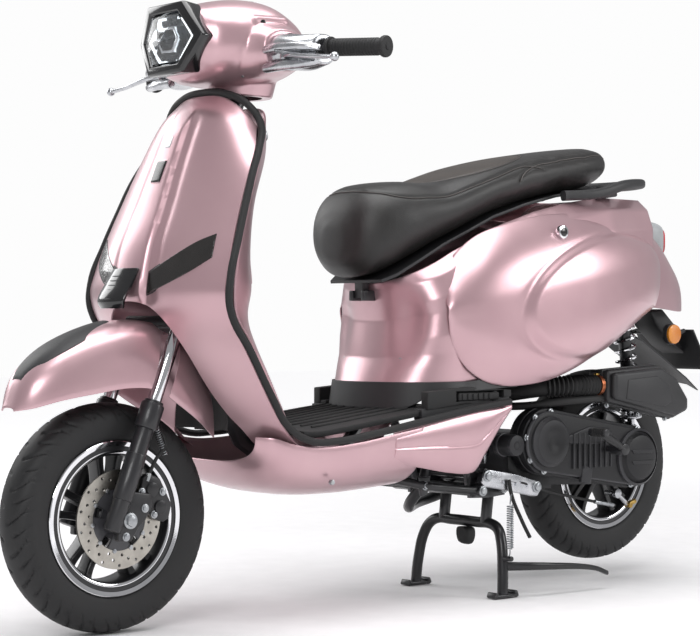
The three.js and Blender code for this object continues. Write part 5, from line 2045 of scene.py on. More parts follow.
    def knee_panel(self) -> None:
        """Makes the rider-side panel with its locker lid, lock and bag hook."""
        share = np.linspace(-1, 1, 81)
        grid = []
        for middle_z, edge_z, wide, edge_y, bulge in smooth_rows(self.inner, 80):
            z = middle_z + (edge_z - middle_z) * np.abs(share) ** 3
            y = edge_y + 8 + bulge * (1 - np.abs(share) ** 2.5)
            grid.append(np.stack([wide * share, y, z], axis=1))
        grid = np.array(grid)
        self.kit.add(
            panel(grid, 3.0), "painted_knee_panel", ROSE_LACQUER, ["inner_leg_shield"], 40.0
        )
        lid = grid[18:44, 18:63].copy()
        lid[:, :, 1] += 2.4
        self.kit.add(panel(lid, 2.4, 1.2), "locker_lid", ROSE_LACQUER)
        y = float(grid[10, 52, 1])
        lock = rod((58, y, 934), (58, y + 12, 938), 15, edge=3)
        slot = block((57, 59), (y + 8, y + 16), (931, 943), 0.4)
        self.kit.add(cut(lock, slot), "ignition_lock", ZINC)
        hook = pipe([(0, y + 4, 846), (0, y + 26, 842), (0, y + 40, 850), (0, y + 36, 866)], 5.0)
        self.kit.add(hook, "bag_hook", ZINC)


# ------------------------------------------------------------------ floor


@dataclass
class Floor:
    """The footboard, its mats and sills, and the painted fairing below it."""

    deck: tuple[Row, ...] = (
        (334, 176, 371), (370, 178, 370), (440, 176, 377), (530, 173, 388), (620, 170, 399),
        (700, 150, 409),
    )
    hull: tuple[Row, ...] = (
        (238, 150, 362, 312), (262, 180, 360, 282), (300, 190, 348, 258), (370, 190, 340, 242),
        (470, 187, 346, 238), (560, 183, 358, 241), (636, 180, 368, 246),
    )
    flank: tuple[Row, ...] = (
        (560, 360, 300, 184), (640, 373, 288, 182), (720, 386, 274, 181), (786, 396, 272, 181),
        (816, 400, 300, 180), (850, 404, 346, 180), (884, 408, 390, 179),
    )
    sill: tuple[Row, ...] = (
        (650, 402), (720, 408), (800, 416), (884, 424), (884, 438), (760, 446), (650, 438),
    )

    def build(self) -> None:
        """Makes the deck, sills, pegs and fairing."""
        self.kit = Kit("chassis")
        self.mat()
        self.fairing()
        for side, name in ((1, "left"), (-1, "right")):
            Kit(f"peg_{name}").add(
                self.peg(side), f"folding_peg_{name}", RUBBER, [f"passenger_peg_{name}"]
            )

    def mat(self) -> None:
        """Makes the ribbed rubber deck and the sills beside it."""
        grid = []
        share = np.linspace(-1, 1, 31)
        for y, wide, z in smooth_rows(self.deck, 60):
            grid.append(np.stack([wide * share, np.full(31, y), z - 6 + 5 * (1 - share**2)], axis=1))
        deck = panel(np.array(grid), 11.0, 1.5)
        ribs = []
        for i in range(9):
            x = -128 + 32 * i
            line = []
            for y in (392, 450, 520, 590, 640):
                z = read_off([(r[0], r[2]) for r in self.deck], y) + 5 * (1 - (x / 172) ** 2)
                line.append((x, y, z + 0.4))
            ribs.append(pipe(line, 2.6, fine=4, sides=2))
        edges = [cut(slab(self.sill, s * 158, s * 178, 2.0), self.recess(s)) for s in SIDES]
        foot = [block((s * 140, s * 164), (652, 700), (398, 412), 2.0) for s in SIDES]
        whole = gathered(deck, *ribs, *edges, *foot)
        self.kit.add(whole, "ribbed_deck_and_sills", RUBBER, ["floorboard"])
        rows = []
        for t in np.linspace(0, 1, 16):
            row = []
            for x, y in self.foot_line(90):
                low = 402 + 35 * float(step(640, 700, y)) + 6 * float(step(760, 900, y))
                high = 456 + 22 * float(step(760, 900, y))
                back = 6 * t * float(step(700, 630, y))
                row.append((x * (1 + 0.035 * t), y - back, high + (low - high) * t))
            rows.append(row)
        fill_line = ((640, 382), (884, 411), (884, 424), (760, 419), (640, 404))
        fill = both(slab(fill_line, 148, 172, 1.0))
        skirt = gathered(panel(np.array(rows), 3.0), fill)
        self.kit.add(skirt, "body_foot_skirt", GRAINED_PLASTIC)

    def foot_line(self, fine: int) -> list[tuple[float, float]]:
        """Gives the line round the foot of the painted body.

        Args:
            fine: Points round the front.

        Returns:
            x and y of each point, from the right rear round the front to the left rear.
        """
        front = [
            (166 * math.sin(a), 764 - 148 * max(math.cos(a), 0.0) ** 0.8)
            for a in np.linspace(-math.pi / 2, math.pi / 2, fine)
        ]
        side = [(172.0, y) for y in np.linspace(784, 900, 8)]
        return [(-x, y) for x, y in side[::-1]] + front + side

    def recess(self, side: int) -> Piece:
        """Makes the solid that opens a sill for its folded peg."""
        return block((side * 165, side * 200), (728, 862), (414, 438), 0)

    def peg(self, side: int) -> Piece:
        """Makes a passenger's folding peg with its rubber treads.

        Args:
            side: 1 for the left, -1 for the right.

        Returns:
            The new piece.
        """
        bar = block((side * 167, side * 178), (736, 850), (418, 434), 3.0)
        treads = [
            block((side * 176, side * 180.5), (744 + 15 * i, 753 + 15 * i), (419.5, 432.5), 1.2)
            for i in range(6)
        ]
        return gathered(bar, *treads, rod((side * 172, 840, 416), (side * 172, 840, 436), 5))

    def fairing(self) -> None:
        """Makes the keel fairing, its side skirts and its screws."""
        keel = panel(arched(self.hull, 60, 71), 3.0)
        strip = []
        share = np.linspace(0, 1, 34)
        for y, top, low, wide in smooth_rows(self.flank, 70):
            seam = 1.8 * np.exp(-(((share - 0.52) / 0.03) ** 2))
            tuck = 7 * np.abs(2 * share - 1) ** 4 + 9 * share**3
            z = top + (low - top) * share
            strip.append(np.stack([wide - tuck - seam, np.full(34, y), z], axis=1))
        whole = gathered(keel, both(panel(np.array(strip), 3.0)))
        self.kit.add(whole, "keel_fairing", ROSE_LACQUER, ["lower_fairing"], 38.0)
        screws = both(gathered(*[
            rod_x(x - 6, x + 2.5, y, z, 5, edge=1, sides=24)
            for x, y, z in ((186, 396, 272), (177, 640, 356), (177, 858, 392))
        ]))
        self.kit.add(screws, "fairing_screws", ZINC)


# ------------------------------------------------------------------ rear body


@dataclass
class RearBody:
    """The painted body under the seat with its cowls, tail, rail and rear lamp."""

    seat_under: tuple[Row, ...] = (
        (540, 712), (560, 676), (592, 652), (640, 664), (700, 696), (760, 728), (830, 758),
        (900, 788), (1000, 818), (1100, 840), (1200, 854), (1290, 872),
    )
    cowl: tuple[Row, ...] = (
        (716, 590, 612, 188), (723, 550, 648, 191), (742, 509, 690, 195), (776, 474, 726, 201),
        (826, 451, 757, 207),
        (900, 446, 780, 213), (1000, 460, 800, 216), (1110, 498, 806, 213), (1212, 545, 800, 200),
        (1320, 592, 786, 174), (1396, 612, 770, 144),
    )
    cowl_middle: tuple[float, float] = (1060.0, 632.0)
    tail: tuple[Row, ...] = (
        (1170, 116, 660, 836), (1250, 124, 636, 842), (1334, 120, 610, 840),
        (1400, 112, 608, 808), (1460, 98, 604, 776), (1515, 80, 600, 726), (1552, 60, 602, 692),
        (1580, 34, 616, 652),
    )
    sides: tuple[tuple[float, Row], ...] = (
        (764, (126, 150, 166, 170, 161)), (900, (128, 168, 186, 190, 176)),
        (1050, (124, 166, 188, 190, 172)), (1200, (112, 150, 172, 172, 154)),
        (1360, (96, 124, 140, 142, 124)),
    )
    foot: tuple[Row, ...] = (
        (600, 452), (764, 454), (840, 462), (900, 486), (1050, 528), (1200, 576), (1360, 618),
    )
    rail: tuple[Row, ...] = (
        (120, 1096, 846), (140, 1180, 853), (142, 1262, 874), (112, 1344, 882), (50, 1384, 883),
    )

    def build(self) -> None:
        """Makes every piece of the rear body."""
        self.kit = Kit("chassis")
        self.cover()
        self.cowls()
        self.tail_piece()
        self.grab_rail()
        self.plate()
        dress("storage_bucket", GRAINED_PLASTIC)
        self.kit.refine("fuel_tank", GRAINED_PLASTIC, 3.0)
        self.kit.refine("rear_mudguard", GRAINED_PLASTIC, 0.8)

    def body_top(self, y: float) -> float:
        """Gives the height of the body's top edge under the seat."""
        return min(read_off(self.seat_under, y) - 10, 846.0)

    def cover(self) -> None:
        """Makes the painted sheet round the front and along both sides, under the seat."""
        rows = []
        for t in np.linspace(0, 1, 64):
            front = read_off([(0, 642), (0.4, 654), (0.75, 643), (1, 622)], t)
            nose = []
            for angle in np.linspace(0, math.pi / 2, 60)[:-1]:
                c, s = math.cos(angle), math.sin(angle)
                hollow = math.exp(-(((s - 0.60) / 0.20) ** 2))
                hollow *= math.sin(math.pi * min(1.0, t / 0.85)) ** 1.2
                y = 764 - (764 - front) * c**0.8 + 11 * hollow
                nose.append((self.half_width(764, t) * s, y, self.height(y, t)))
            side = [
                (self.half_width(y, t), y, self.height(y, t)) for y in np.linspace(764, 1360, 90)
            ]
            left = nose + side
            rows.append([(-x, y, z) for x, y, z in left[:0:-1]] + left)
        whole = panel(np.array(rows), 3.0)
        self.kit.add(whole, "painted_rear_body", ROSE_LACQUER, ["rear_body"], 40.0)
        cheeks = [block((s * 13, s * 24), (616, 668), (620, 641), 2.0) for s in SIDES]
        pin = rod_x(-21, 21, 630, 634, 4)
        self.kit.add(gathered(*cheeks, pin), "seat_hinge_bracket", BLACK_ENAMEL)
        screws = [
            rod((s * 84, 668, 500), (s * 87, 657, 500), 5, edge=1, sides=24) for s in SIDES
        ]
        self.kit.add(gathered(*screws), "cover_screws", ZINC)

    def half_width(self, y: float, t: float) -> float:
        """Gives the body's half width.

        Args:
            y: Distance behind the front axle.
            t: 0 at the top edge to 1 at the foot.

        Returns:
            The half width in millimetres.
        """
        shares = (0.0, 0.1, 0.28, 0.6, 1.0)
        at_station = [float(np.interp(t, shares, widths)) for _, widths in self.sides]
        return float(np.interp(y, [station for station, _ in self.sides], at_station))

    def height(self, y: float, t: float) -> float:
        """Gives the height on the body at a share of the way down its side."""
        top = self.body_top(y)
        return top + (read_off(self.foot, y) - top) * t

    def cowl_face(self, fine: int, columns: int) -> np.ndarray:
        """Gives the left cowl's outer face with its raised round dome.

        Args:
            fine: Points round its edge.
            columns: Rings from its edge to its middle.

        Returns:
            Rings of points in millimetres.
        """
        table = smooth_rows(self.cowl, 60)
        line = [(r[0], r[1]) for r in table] + [(r[0], r[2]) for r in table[::-1]]
        line = [*line[30:], *line[:30]]
        line = smooth_rows([*line, line[0]], fine)[:-1]
        middle = np.array(self.cowl_middle)
        rows = []
        for share in np.linspace(1, 0.02, columns):
            y, z = (middle + (line - middle) * share).T
            low, high, reach = (np.interp(y, table[:, 0], table[:, k]) for k in (1, 2, 3))
            t = np.clip((z - low) / np.maximum(high - low, 1), 0, 1)
            roll = 46 * np.clip((t - 0.55) / 0.45, 0, 1) ** 2
            roll += 10 * np.clip((0.35 - t) / 0.35, 0, 1) ** 2
            x = reach - 20 * share**7 - roll * np.clip((high - low) / 160, 0, 1) + self.dome(y, z)
            rows.append(np.stack([x, y, z], axis=1))
        return np.array(rows)

    def dome(self, y: np.ndarray, z: np.ndarray) -> np.ndarray:
        """Works out how far the dome stands out of the cowl.

        Args:
            y: Distance behind the front axle.
            z: Height.

        Returns:
            The dome's height in millimetres.
        """
        across, up = (y - 1146) / 258, (z - 634 - 0.17 * (y - 1146)) / 126
        radius = np.sqrt(across**2 + up**2)
        lip = 5.5 * (1 - step(0.90, 1.0, radius))
        crown = 7.0 * np.clip(1 - radius**2, 0, 1) ** 0.7
        return lip + crown - 1.8 * np.exp(-(((radius - 1.03) / 0.05) ** 2))

    def cowls(self) -> None:
        """Makes both side cowls and their round lock badges."""
        for side, name in ((1, "left"), (-1, "right")):
            face = self.cowl_face(300, 60)
            face[:, :, 0] *= side
            self.kit.add(
                disc(face, 3.0, 1.0), f"domed_cowl_{name}", ROSE_LACQUER,
                [f"side_cowl_{name}"], 45.0,
            )
            x = side * 199
            ring = rod_x(x - side * 8, x + side * 3.0, 1012, 764, 14, edge=1.5)
            core = rod_x(x, x + side * 4.2, 1012, 764, 9.5, edge=1.0)
            self.kit.add(ring, f"lock_ring_{name}", CHROME)
            self.kit.add(core, f"lock_core_{name}", GLOSS_PLASTIC)

    def tail_piece(self) -> None:
        """Makes the painted tail, its pocket and the rear lamp."""
        shell = panel(arched(self.tail, 60, 81), 3.0, 0.0)
        pocket = block((-57, 57), (1396, 1575), (716, 832), 6.0)
        self.kit.add(cut(shell, pocket), "painted_tail", ROSE_LACQUER, ["tail_cover"], 40.0)
        housing = loft(
            [
                (1398, 764, 50, 38, 4), (1480, 764, 53, 42, 4), (1500, 762, 51, 40, 4),
                (1507, 762, 46, 36, 4),
            ]
        )
        self.kit.add(housing, "rear_lamp_housing", GREY_HOUSING, ["tail_light"])
        lens = loft(
            [(1499, 760, 47, 35, 4), (1512, 760, 46, 34, 4), (1520, 759, 38, 26, 4)], fine=20
        )
        self.kit.add(lens, "rear_lamp_lens", RED_LENS)

    def grab_rail(self) -> None:
        """Makes the flat-sided rail behind the seat with its front feet."""
        path = [(-x, y, z) for x, y, z in self.rail] + [(0, 1390, 883)] + list(self.rail[::-1])
        rings = []
        for centre, side, up in framed(smooth_rows(path, 90)):
            wide = 11 + 6 * float(step(1290, 1380, centre[1]))
            section = oval(wide, 11, 3.0, 24)
            rings.append([centre + a * side + b * up for a, b in section])
        feet = [
            block((s * 92, s * 126), (1196, 1262), (846, 858), 4.0, turn=(8, 0, 0)) for s in SIDES
        ]
        whole = gathered(skin(np.array(rings)), *feet)
        self.kit.add(whole, "moulded_grab_rail", GRAINED_PLASTIC, ["grab_rail"], 50.0)
        bolts = [bolt((s * 110, 1230, 859), (0, 0, 1), 6, 4) for s in SIDES]
        self.kit.add(gathered(*bolts), "rail_bolts", ZINC)

    def plate(self) -> None:
        """Makes the plate holder, the side reflectors and their stalk."""
        backing = panel(np.array([
            [(88 * s, 1564 + 58 * t, 558 - 92 * t) for s in np.linspace(-1, 1, 12)]
            for t in np.linspace(0, 1, 12)
        ]), 4.0, 1.2)
        outline = [(1480, 600), (1520, 606), (1590, 548), (1602, 500), (1560, 520), (1500, 566)]
        holder = gathered(backing, slab(outline, -34, 34, 4.0))
        self.kit.add(
            holder, "plate_holder", GRAINED_PLASTIC, ["plate_bracket"]
        )
        lenses, cups = [], []
        for s in SIDES:
            lenses.append(rod_x(s * 76, s * 84, 1505, 548, 22, edge=2, sides=48))
            cups.append(rod_x(s * 65, s * 78, 1505, 548, 24, edge=2, sides=48))
            cups.append(rod((s * 71, 1515, 548), (s * 71, 1552, 556), 5))
        self.kit.add(gathered(*lenses), "round_reflectors", AMBER_LENS, ["side_reflectors"])
        cups.append(rod_x(-72, 72, 1544, 552, 4.5))
        self.kit.add(gathered(*cups), "reflector_cups", GRAINED_PLASTIC)


# ------------------------------------------------------------------ seat


@dataclass
class Seat:
    """The stepped dual seat: foam under stitched vinyl on a moulded pan."""

    sections: tuple[Row, ...] = (
        (553, 775, 36), (566, 812, 80), (595, 845, 108), (640, 857, 124), (700, 862, 133),
        (760, 862, 138), (830, 882, 139), (900, 903, 136), (1000, 925, 131), (1100, 941, 124),
        (1200, 954, 112), (1256, 957, 96), (1281, 946, 76),
    )
    under: tuple[Row, ...] = RearBody.seat_under
    outer_seam: tuple[Row, ...] = (
        (0, 588), (60, 596), (98, 640), (114, 720), (119, 820), (117, 900), (108, 985), (116, 1040),
    )
    rear_seam: tuple[Row, ...] = ((125, 960), (112, 1010), (103, 1090), (96, 1180), (82, 1262))
    voxel_mm: float = 5.0
    pressure: float = 2.5
    most_swell_mm: float = 5.0

    def build(self) -> None:
        """Makes the cushion, its sewn lines and the pan."""
        self.kit = Kit("seat")
        cushion = self.cushion()
        self.seams()
        pan = self.kit.refine("seat_base", GRAINED_PLASTIC, 1.5)
        middle = at(0, 900, 0).y
        for vertex in pan.data.vertices:
            vertex.co.x *= 0.93 if abs(vertex.co.x) > 0.03 else 1.0
            if vertex.co.y < at(0, 600, 0).y:
                vertex.co.y = middle + (vertex.co.y - middle) * 0.93

    def cushion(self) -> Piece:
        """Makes the foam body and swells its cover with a short cloth run.

        Returns:
            The cushion.
        """
        rings = []
        for y, top, wide in smooth_rows(self.sections, 60):
            low = read_off(self.under, y) + 11
            section = oval(wide - 3, (top - low) / 2 - 2, 2.7, 72)
            tuck = 1 - 0.14 * step(0.1, -1.0, section[:, 1] / ((top - low) / 2))
            z = (top + low) / 2 + section[:, 1]
            rings.append(np.stack([section[:, 0] * tuck, np.full(72, y), z], axis=1))
        piece = skin(np.array(rings))
        modified(piece, "REMESH", mode="VOXEL", voxel_size=self.voxel_mm * MM)
        self.swell(piece)
        modified(piece, "SMOOTH", factor=0.5, iterations=4)
        modified(piece, "SUBSURF", levels=1, render_levels=1)
        self.press_seams(piece)
        self.kit.add(piece, "stitched_cushion", SEAT_VINYL, ["seat_cushion"], 60.0)
        # The pad's top faces take the brown vinyl, whose lighter brown is a painted sheen where
        # light falls on the seat's top.
        piece.data.materials.append(PAD_VINYL_WITH_PAINTED_SHEEN.material())
        for face in piece.data.polygons:
            if self.on_pad(*self.local(face.center)[:2]) and face.normal.z > 0.35:
                face.material_index = 1
        return piece

    def swell(self, piece: Piece) -> None:
        """Runs a short cloth simulation that swells the cover over its foam.

        Args:
            piece: The remeshed cushion.
        """
        before = np.array([v.co for v in piece.data.vertices])
        cloth = piece.modifiers.new("cover", "CLOTH")
        cloth.settings.use_pressure = True
        cloth.settings.uniform_pressure_force = self.pressure
        cloth.settings.effector_weights.gravity = 0.0
        cloth.settings.quality = 5
        for number in range(1, 21):
            bpy.context.scene.frame_set(number)
        shaped = piece.evaluated_get(bpy.context.evaluated_depsgraph_get())
        after = np.array([v.co for v in shaped.data.vertices])
        piece.modifiers.remove(cloth)
        bpy.context.scene.frame_set(1)
        move = after - before
        length = np.linalg.norm(move, axis=1, keepdims=True)
        most = self.most_swell_mm * MM
        move *= np.minimum(1.0, most / np.maximum(length, 1e-9))
        piece.data.vertices.foreach_set("co", (before + move).ravel())

    def local(self, place: Vector) -> tuple[float, float, float]:
        """Turns metres in the scooter's frame back into millimetres."""
        return place.x / MM, (place.y - FRONT_AXLE_Y) / MM, place.z / MM

    def on_pad(self, x: float, y: float) -> bool:
        """Tells whether a place lies on the rider's smooth pad."""
        return ((y - 905) / 150) ** 2 + (x / 92) ** 2 < 1.0

    def cover_point(self, x: float, y: float) -> Vector | None:
        """Finds the cover's top surface under a place.

        Args:
            x: Distance across.
            y: Distance along.

        Returns:
            The place on the surface in millimetres, or None beside it.
        """
        place = self.tree.ray_cast(at(x, y, 1200), Vector((0, 0, -1)))[0]
        return Vector(self.local(place)) if place else None

    def press_seams(self, piece: Piece) -> None:
        """Presses the sewn lines into the cover and keeps their routes.

        Args:
            piece: The cushion.
        """
        self.tree = BVHTree.FromObject(piece, bpy.context.evaluated_depsgraph_get())
        self.routes = []
        for line in self.pad_lines():
            route = [self.cover_point(x, y) for x, y in line]
            self.routes.append([p for p in route if p is not None])
        places = np.array([self.local(v.co) for v in piece.data.vertices])
        sunk = np.zeros(len(places))
        for route in self.routes:
            line = np.array(route)
            for start in range(0, len(places), 4000):
                part = places[start : start + 4000]
                gap = np.linalg.norm(part[:, None, :] - line[None, :, :], axis=2).min(axis=1)
                sunk[start : start + 4000] = np.maximum(
                    sunk[start : start + 4000], 2.6 * np.exp(-((gap / 4.5) ** 2))
                )
        normals = np.array([v.normal for v in piece.data.vertices])
        spots = np.array([v.co for v in piece.data.vertices]) - normals * sunk[:, None] * MM
        piece.data.vertices.foreach_set("co", spots.ravel())
        piece.data.update()

    def pad_lines(self) -> list[list[tuple[float, float]]]:
        """Lists the sewn routes.

        Returns:
            For each, x and y of its places along the cover.
        """
        angle = np.linspace(0, 2 * math.pi, 160)
        pad = [(96 * math.sin(a), 905 - 154 * math.cos(a)) for a in angle]
        lines = [pad]
        for s in SIDES:
            for table, count in ((self.outer_seam, 150), (self.rear_seam, 110)):
                line = smooth_rows([(s * x, y) for x, y in table], count)
                lines.append([tuple(place) for place in line])
        return lines

    def seams(self) -> None:
        """Makes the raised sewn welts that lie in the pressed lines."""
        threads = []
        for route in self.routes:
            sunk = [(p.x, p.y, p.z - 1.6) for p in route[::3]]
            threads.append(pipe(sunk, 1.3, fine=2, sides=1))
        self.kit.add(gathered(*threads), "sewn_welts", THREAD)


# ------------------------------------------------------------------ engine


@dataclass
class Engine:
    """The swinging engine unit with its belt case, intake, exhaust and brake arm."""

    front: tuple[float, float, float] = (1032.0, 323.0, 70.0)
    rear: tuple[float, float, float] = (1306.0, 279.0, 68.0)
    case_x: tuple[float, float] = (92.5, 146.0)
    duct_line: tuple[Row, ...] = (
        (146, 1190, 440), (144, 1100, 440), (110, 1040, 436), (54, 1006, 426), (20, 1000, 420),
    )
    header_line: tuple[Row, ...] = (
        (-8, 822, 272), (-16, 815, 236), (-60, 818, 188), (-120, 900, 184), (-134, 1010, 206),
        (-134, 1108, 246),
    )
    muffler: tuple[Row, ...] = (
        (1098, 261, 26, 27, 2.4), (1112, 263, 38, 42, 2.5), (1136, 268, 44, 50, 2.6),
        (1400, 306, 46, 54, 2.6), (1424, 310, 43, 50, 2.6), (1440, 312, 33, 38, 2.6),
    )
    hanger: tuple[Row, ...] = (
        (856, 244), (862, 262), (880, 270), (960, 256), (1018, 240), (1034, 224), (1022, 206),
        (1000, 208), (900, 228), (862, 234),
    )

    def build(self) -> None:
        """Makes every piece of the engine unit."""
        self.kit = Kit("engine")
        self.kit.refine("crankcase", CASTING_ENAMEL, 2.0)
        self.belt_case()
        self.starter()
        self.kit.refine("cylinder", CAST_ALUMINIUM, 0.8)
        self.air_box()
        self.duct()
        self.exhaust()
        self.kick()
        self.brake_arm()
        self.hangers()

    def outline(self, inset: float, steps: int = 26) -> list[tuple[float, float]]:
        """Gives the belt case's outline round its two pulleys.

        Args:
            inset: How far inside the case's edge it lies.
            steps: Facets round each end.

        Returns:
            y and z of each corner.
        """
        (y0, z0, r0), (y1, z1, r1) = self.front, self.rear
        lean = math.atan2(z1 - z0, y1 - y0)
        points = []
        for y, z, radius, turn in ((y0, z0, r0, 0.5), (y1, z1, r1, -0.5)):
            for i in range(steps + 1):
                angle = lean + math.pi * turn + math.pi * i / steps
                reach = radius - inset
                points.append((y + reach * math.cos(angle), z + reach * math.sin(angle)))
        return points

    def belt_case(self) -> None:
        """Makes the belt case: tub, flange, raised covers, ribs and bolts."""
        x0, x1 = self.case_x
        tub = slab(self.outline(0), x0, x1 - 12, 2.0)
        top = slab(self.outline(5), x1 - 13, x1, 7.0)
        flange = slab(self.outline(-2), x0 + 18, x0 + 25, 1.5)
        fy, fz, _ = self.front
        ry, rz, _ = self.rear
        bulge = turned(
            [(0, 132), (56, 132), (54, 150), (46, 158), (30, 161), (16, 158), (10, 155), (0, 155)],
            fy, fz, sides=72, ring=False,
        )
        cap = turned(
            [
                (0, 130), (64, 130), (63, 151), (58, 155), (56, 151.5), (52, 154), (48, 160),
                (36, 163.5), (0, 164),
            ],
            ry, rz, sides=84, ring=False,
        )
        ribs = []
        for i in range(8):
            y = 1100 + 17 * i
            rib = [(y, 262), (y + 5, 262), (y + 5, 338), (y, 338)]
            ribs.append(slab(rib, x1 - 6, x1 + 5 - 0.3 * i, 1.2))
        web_line = [(1082, 332), (1150, 352), (1216, 346), (1226, 322), (1180, 312), (1090, 316)]
        web = slab(web_line, x1 - 20, x1 + 3, 3.0)
        chest = slab([(1128, 232), (1158, 226), (1164, 262), (1134, 268)], x1 - 8, x1 + 2, 2.0)
        whole = gathered(tub, top, flange, bulge, cap, *ribs, web, chest)
        self.kit.add(whole, "belt_case_casting", CASTING_ENAMEL, ["belt_case_cover"], 30.0)
        bolts = []
        for y, z in self.outline(7, 4):
            bolts.append(bolt((x1 - 9, y, z), (1, 0, 0), 5.5, 6))
        bolts += [bolt((x1 + 3, y, z), (1, 0, 0), 5, 4) for y, z in ((1152, 338), (1204, 332))]
        self.kit.add(gathered(*bolts), "case_bolts", ZINC)
        plug = rod_x(x1 + 1, x1 + 6, 1236, 306, 6, edge=1)
        self.kit.add(plug, "case_oil_plug", PASSIVATED)
        bars = [
            slab([(1270, z), (1342, z), (1336, z - 8), (1276, z - 8)], 161, 165.4, 1.0)
            for z in (296, 272)
        ]
        self.kit.add(gathered(*bars), "cap_ribs", CASTING_ENAMEL)

    def starter(self) -> None:
        """Makes the round starter motor ahead of the belt case."""
        motor = turned(
            [(0, 86), (22, 86), (23, 92), (23, 130), (19, 136), (12, 138), (8, 141), (0, 141)],
            940, 318, sides=48, ring=False,
        )
        band = turned([(23.2, 98), (24.6, 98.6), (24.6, 103.4), (23.2, 104)], 940, 318, sides=48)
        self.kit.add(gathered(motor, band), "starter_motor", CASTING_ENAMEL)

    def air_box(self) -> None:
        """Makes the faceted air box with its seam and bolts."""
        body = (
            (1188, 404), (1188, 472), (1350, 481), (1400, 457), (1442, 408), (1442, 376), (1402, 362)
        )
        face = (
            (1194, 410), (1194, 467), (1348, 476), (1396, 453), (1436, 406), (1436, 380), (1400, 368)
        )
        raised = ((1228, 410), (1234, 452), (1330, 458), (1368, 436), (1376, 400), (1350, 390))
        seam = [(y + (3 if y > 1300 else -2), z + (3 if z > 430 else -3)) for y, z in body]
        core, lid, waist, dent = (
            slab(line, x0, x1, edge)
            for line, x0, x1, edge in (
                (body, 110, 168, 6.0), (face, 165, 184, 9.0), (seam, 146, 152, 1.5),
                (raised, 181, 186, 2.2),
            )
        )
        self.kit.add(
            gathered(core, lid, waist, dent), "faceted_air_box", GRAINED_PLASTIC,
            ["air_filter_box"], 30.0,
        )
        bolts = [
            bolt((152, y, z), (1, 0, 0), 4.5, 5) for y, z in ((1200, 396), (1300, 372), (1390, 362))
        ]
        self.kit.add(gathered(*bolts), "air_box_bolts", ZINC)

    def duct(self) -> None:
        """Makes the pleated rubber duct and its copper band."""
        line = smooth_rows(self.duct_line, 150)
        travel = np.concatenate([[0], np.cumsum(np.linalg.norm(np.diff(line, axis=0), axis=1))])
        rings = []
        for (centre, side, up), gone in zip(framed(line), travel):
            pleat = 2.6 * math.cos(2 * math.pi * gone / 9.0) if 24 < gone < 150 else -1.0
            radius = 20.4 + pleat
            rings.append([
                centre + radius * (math.cos(a) * side + math.sin(a) * up)
                for a in np.linspace(0, 2 * math.pi, 40, endpoint=False)
            ])
        self.kit.add(skin(np.array(rings)), "pleated_duct", RUBBER, ["intake_duct"], 60.0)
        band = turned([(20.6, -5), (22.6, -4.6), (22.6, 4.6), (20.6, 5)], 0, 0, sides=64)
        for vertex in band.data.vertices:
            x, y, z = vertex.co.x, vertex.co.y - FRONT_AXLE_Y, vertex.co.z
            vertex.co = Vector((0.1455 + y, FRONT_AXLE_Y + 1.176 + x, 0.440 + z))
        outward(band)
        self.kit.add(band, "copper_hose_band", COPPER)
        screw = rod((146, 1170, 463), (146, 1182, 463), 3.4, edge=0.8, sides=16)
        self.kit.add(screw, "hose_band_screw", PASSIVATED)
        hose = pipe(
            [(150, 1190, 412), (152, 1130, 410), (140, 1060, 406), (96, 1010, 398), (20, 968, 396)],
            8.5,
        )
        self.kit.add(hose, "breather_hose", RUBBER)

    def exhaust(self) -> None:
        """Makes the header pipe, the muffler, its guard and its tail pipe."""
        header = pipe(self.header_line, 12)
        can = loft(self.muffler, x=-136.0)
        foot = block((-110, -79), (1060, 1180), (284, 300), 3.0)
        whole = gathered(header, can, foot)
        self.kit.add(whole, "muffler_and_pipe", BLACK_ENAMEL, ["exhaust"])
        guard = panel(np.array([
            [
                (-136 - 49 * math.cos(a), 1170 + 190 * t, 272 + 26 * t + 58 * math.sin(a))
                for a in np.linspace(-0.6, 0.9, 24)
            ]
            for t in np.linspace(0, 1, 20)
        ]), 2.4, 1.0)
        self.kit.add(guard, "muffler_guard", CHROME)
        outlet = pipe([(-136, 1430, 300), (-136, 1452, 296), (-137, 1462, 290)], 10)
        self.kit.add(outlet, "muffler_outlet", CHROME)

    def kick(self) -> None:
        """Makes the kick lever with its splined boss and folding pedal."""
        kit = Kit("kick_starter")
        boss = rod_x(164.5, 202, 1208, 302, 12.5, edge=2)
        shaft = rod_x(150, 198, 1208, 302, 8, edge=0.5)
        arm = pipe([(195, 1208, 302), (197, 1170, 324), (196, 1130, 338), (196, 1108, 343)], 7.0)
        web = slab([(1200, 312), (1214, 296), (1150, 322), (1140, 334)], 191, 199, 2.5)
        pedal = rod_x(192, 240, 1106, 343, 8, edge=2)
        whole = gathered(boss, shaft, arm, web, pedal)
        kit.add(whole, "kick_start_lever", BLACK_ENAMEL, ["kick_lever"])
        sleeve = [rod_x(203 + 6 * i, 207.5 + 6 * i, 1106, 343, 9.4, edge=0.8) for i in range(6)]
        kit.add(gathered(*sleeve), "kick_pedal_rubber", RUBBER)

    def brake_arm(self) -> None:
        """Makes the rear drum brake's arm, its rod and its brass-coloured adjuster."""
        kit = Kit("brake_arm")
        kit.refine("rear_brake_arm", CAST_ALUMINIUM, 1.2)
        barrel = rod_x(94, 110, 1330, 168, 6, edge=1)
        nut = rod((101, 1330, 170), (101, 1352, 176), 6.5, edge=1.2, sides=6)
        kit.add(gathered(barrel, nut), "brake_adjuster", PASSIVATED)
        cable = pipe(
            [
                (101.5, 1286, 170), (102, 1250, 176), (104, 1150, 196), (112, 1060, 214),
                (118, 985, 236), (116, 930, 246),
            ],
            3.2,
        )
        self.kit.add(cable, "rear_brake_line", RUBBER)
        sleeve = rod((101.6, 1280, 171), (103, 1218, 182), 4.6, edge=1)
        self.kit.add(sleeve, "brake_line_ferrule", ZINC)

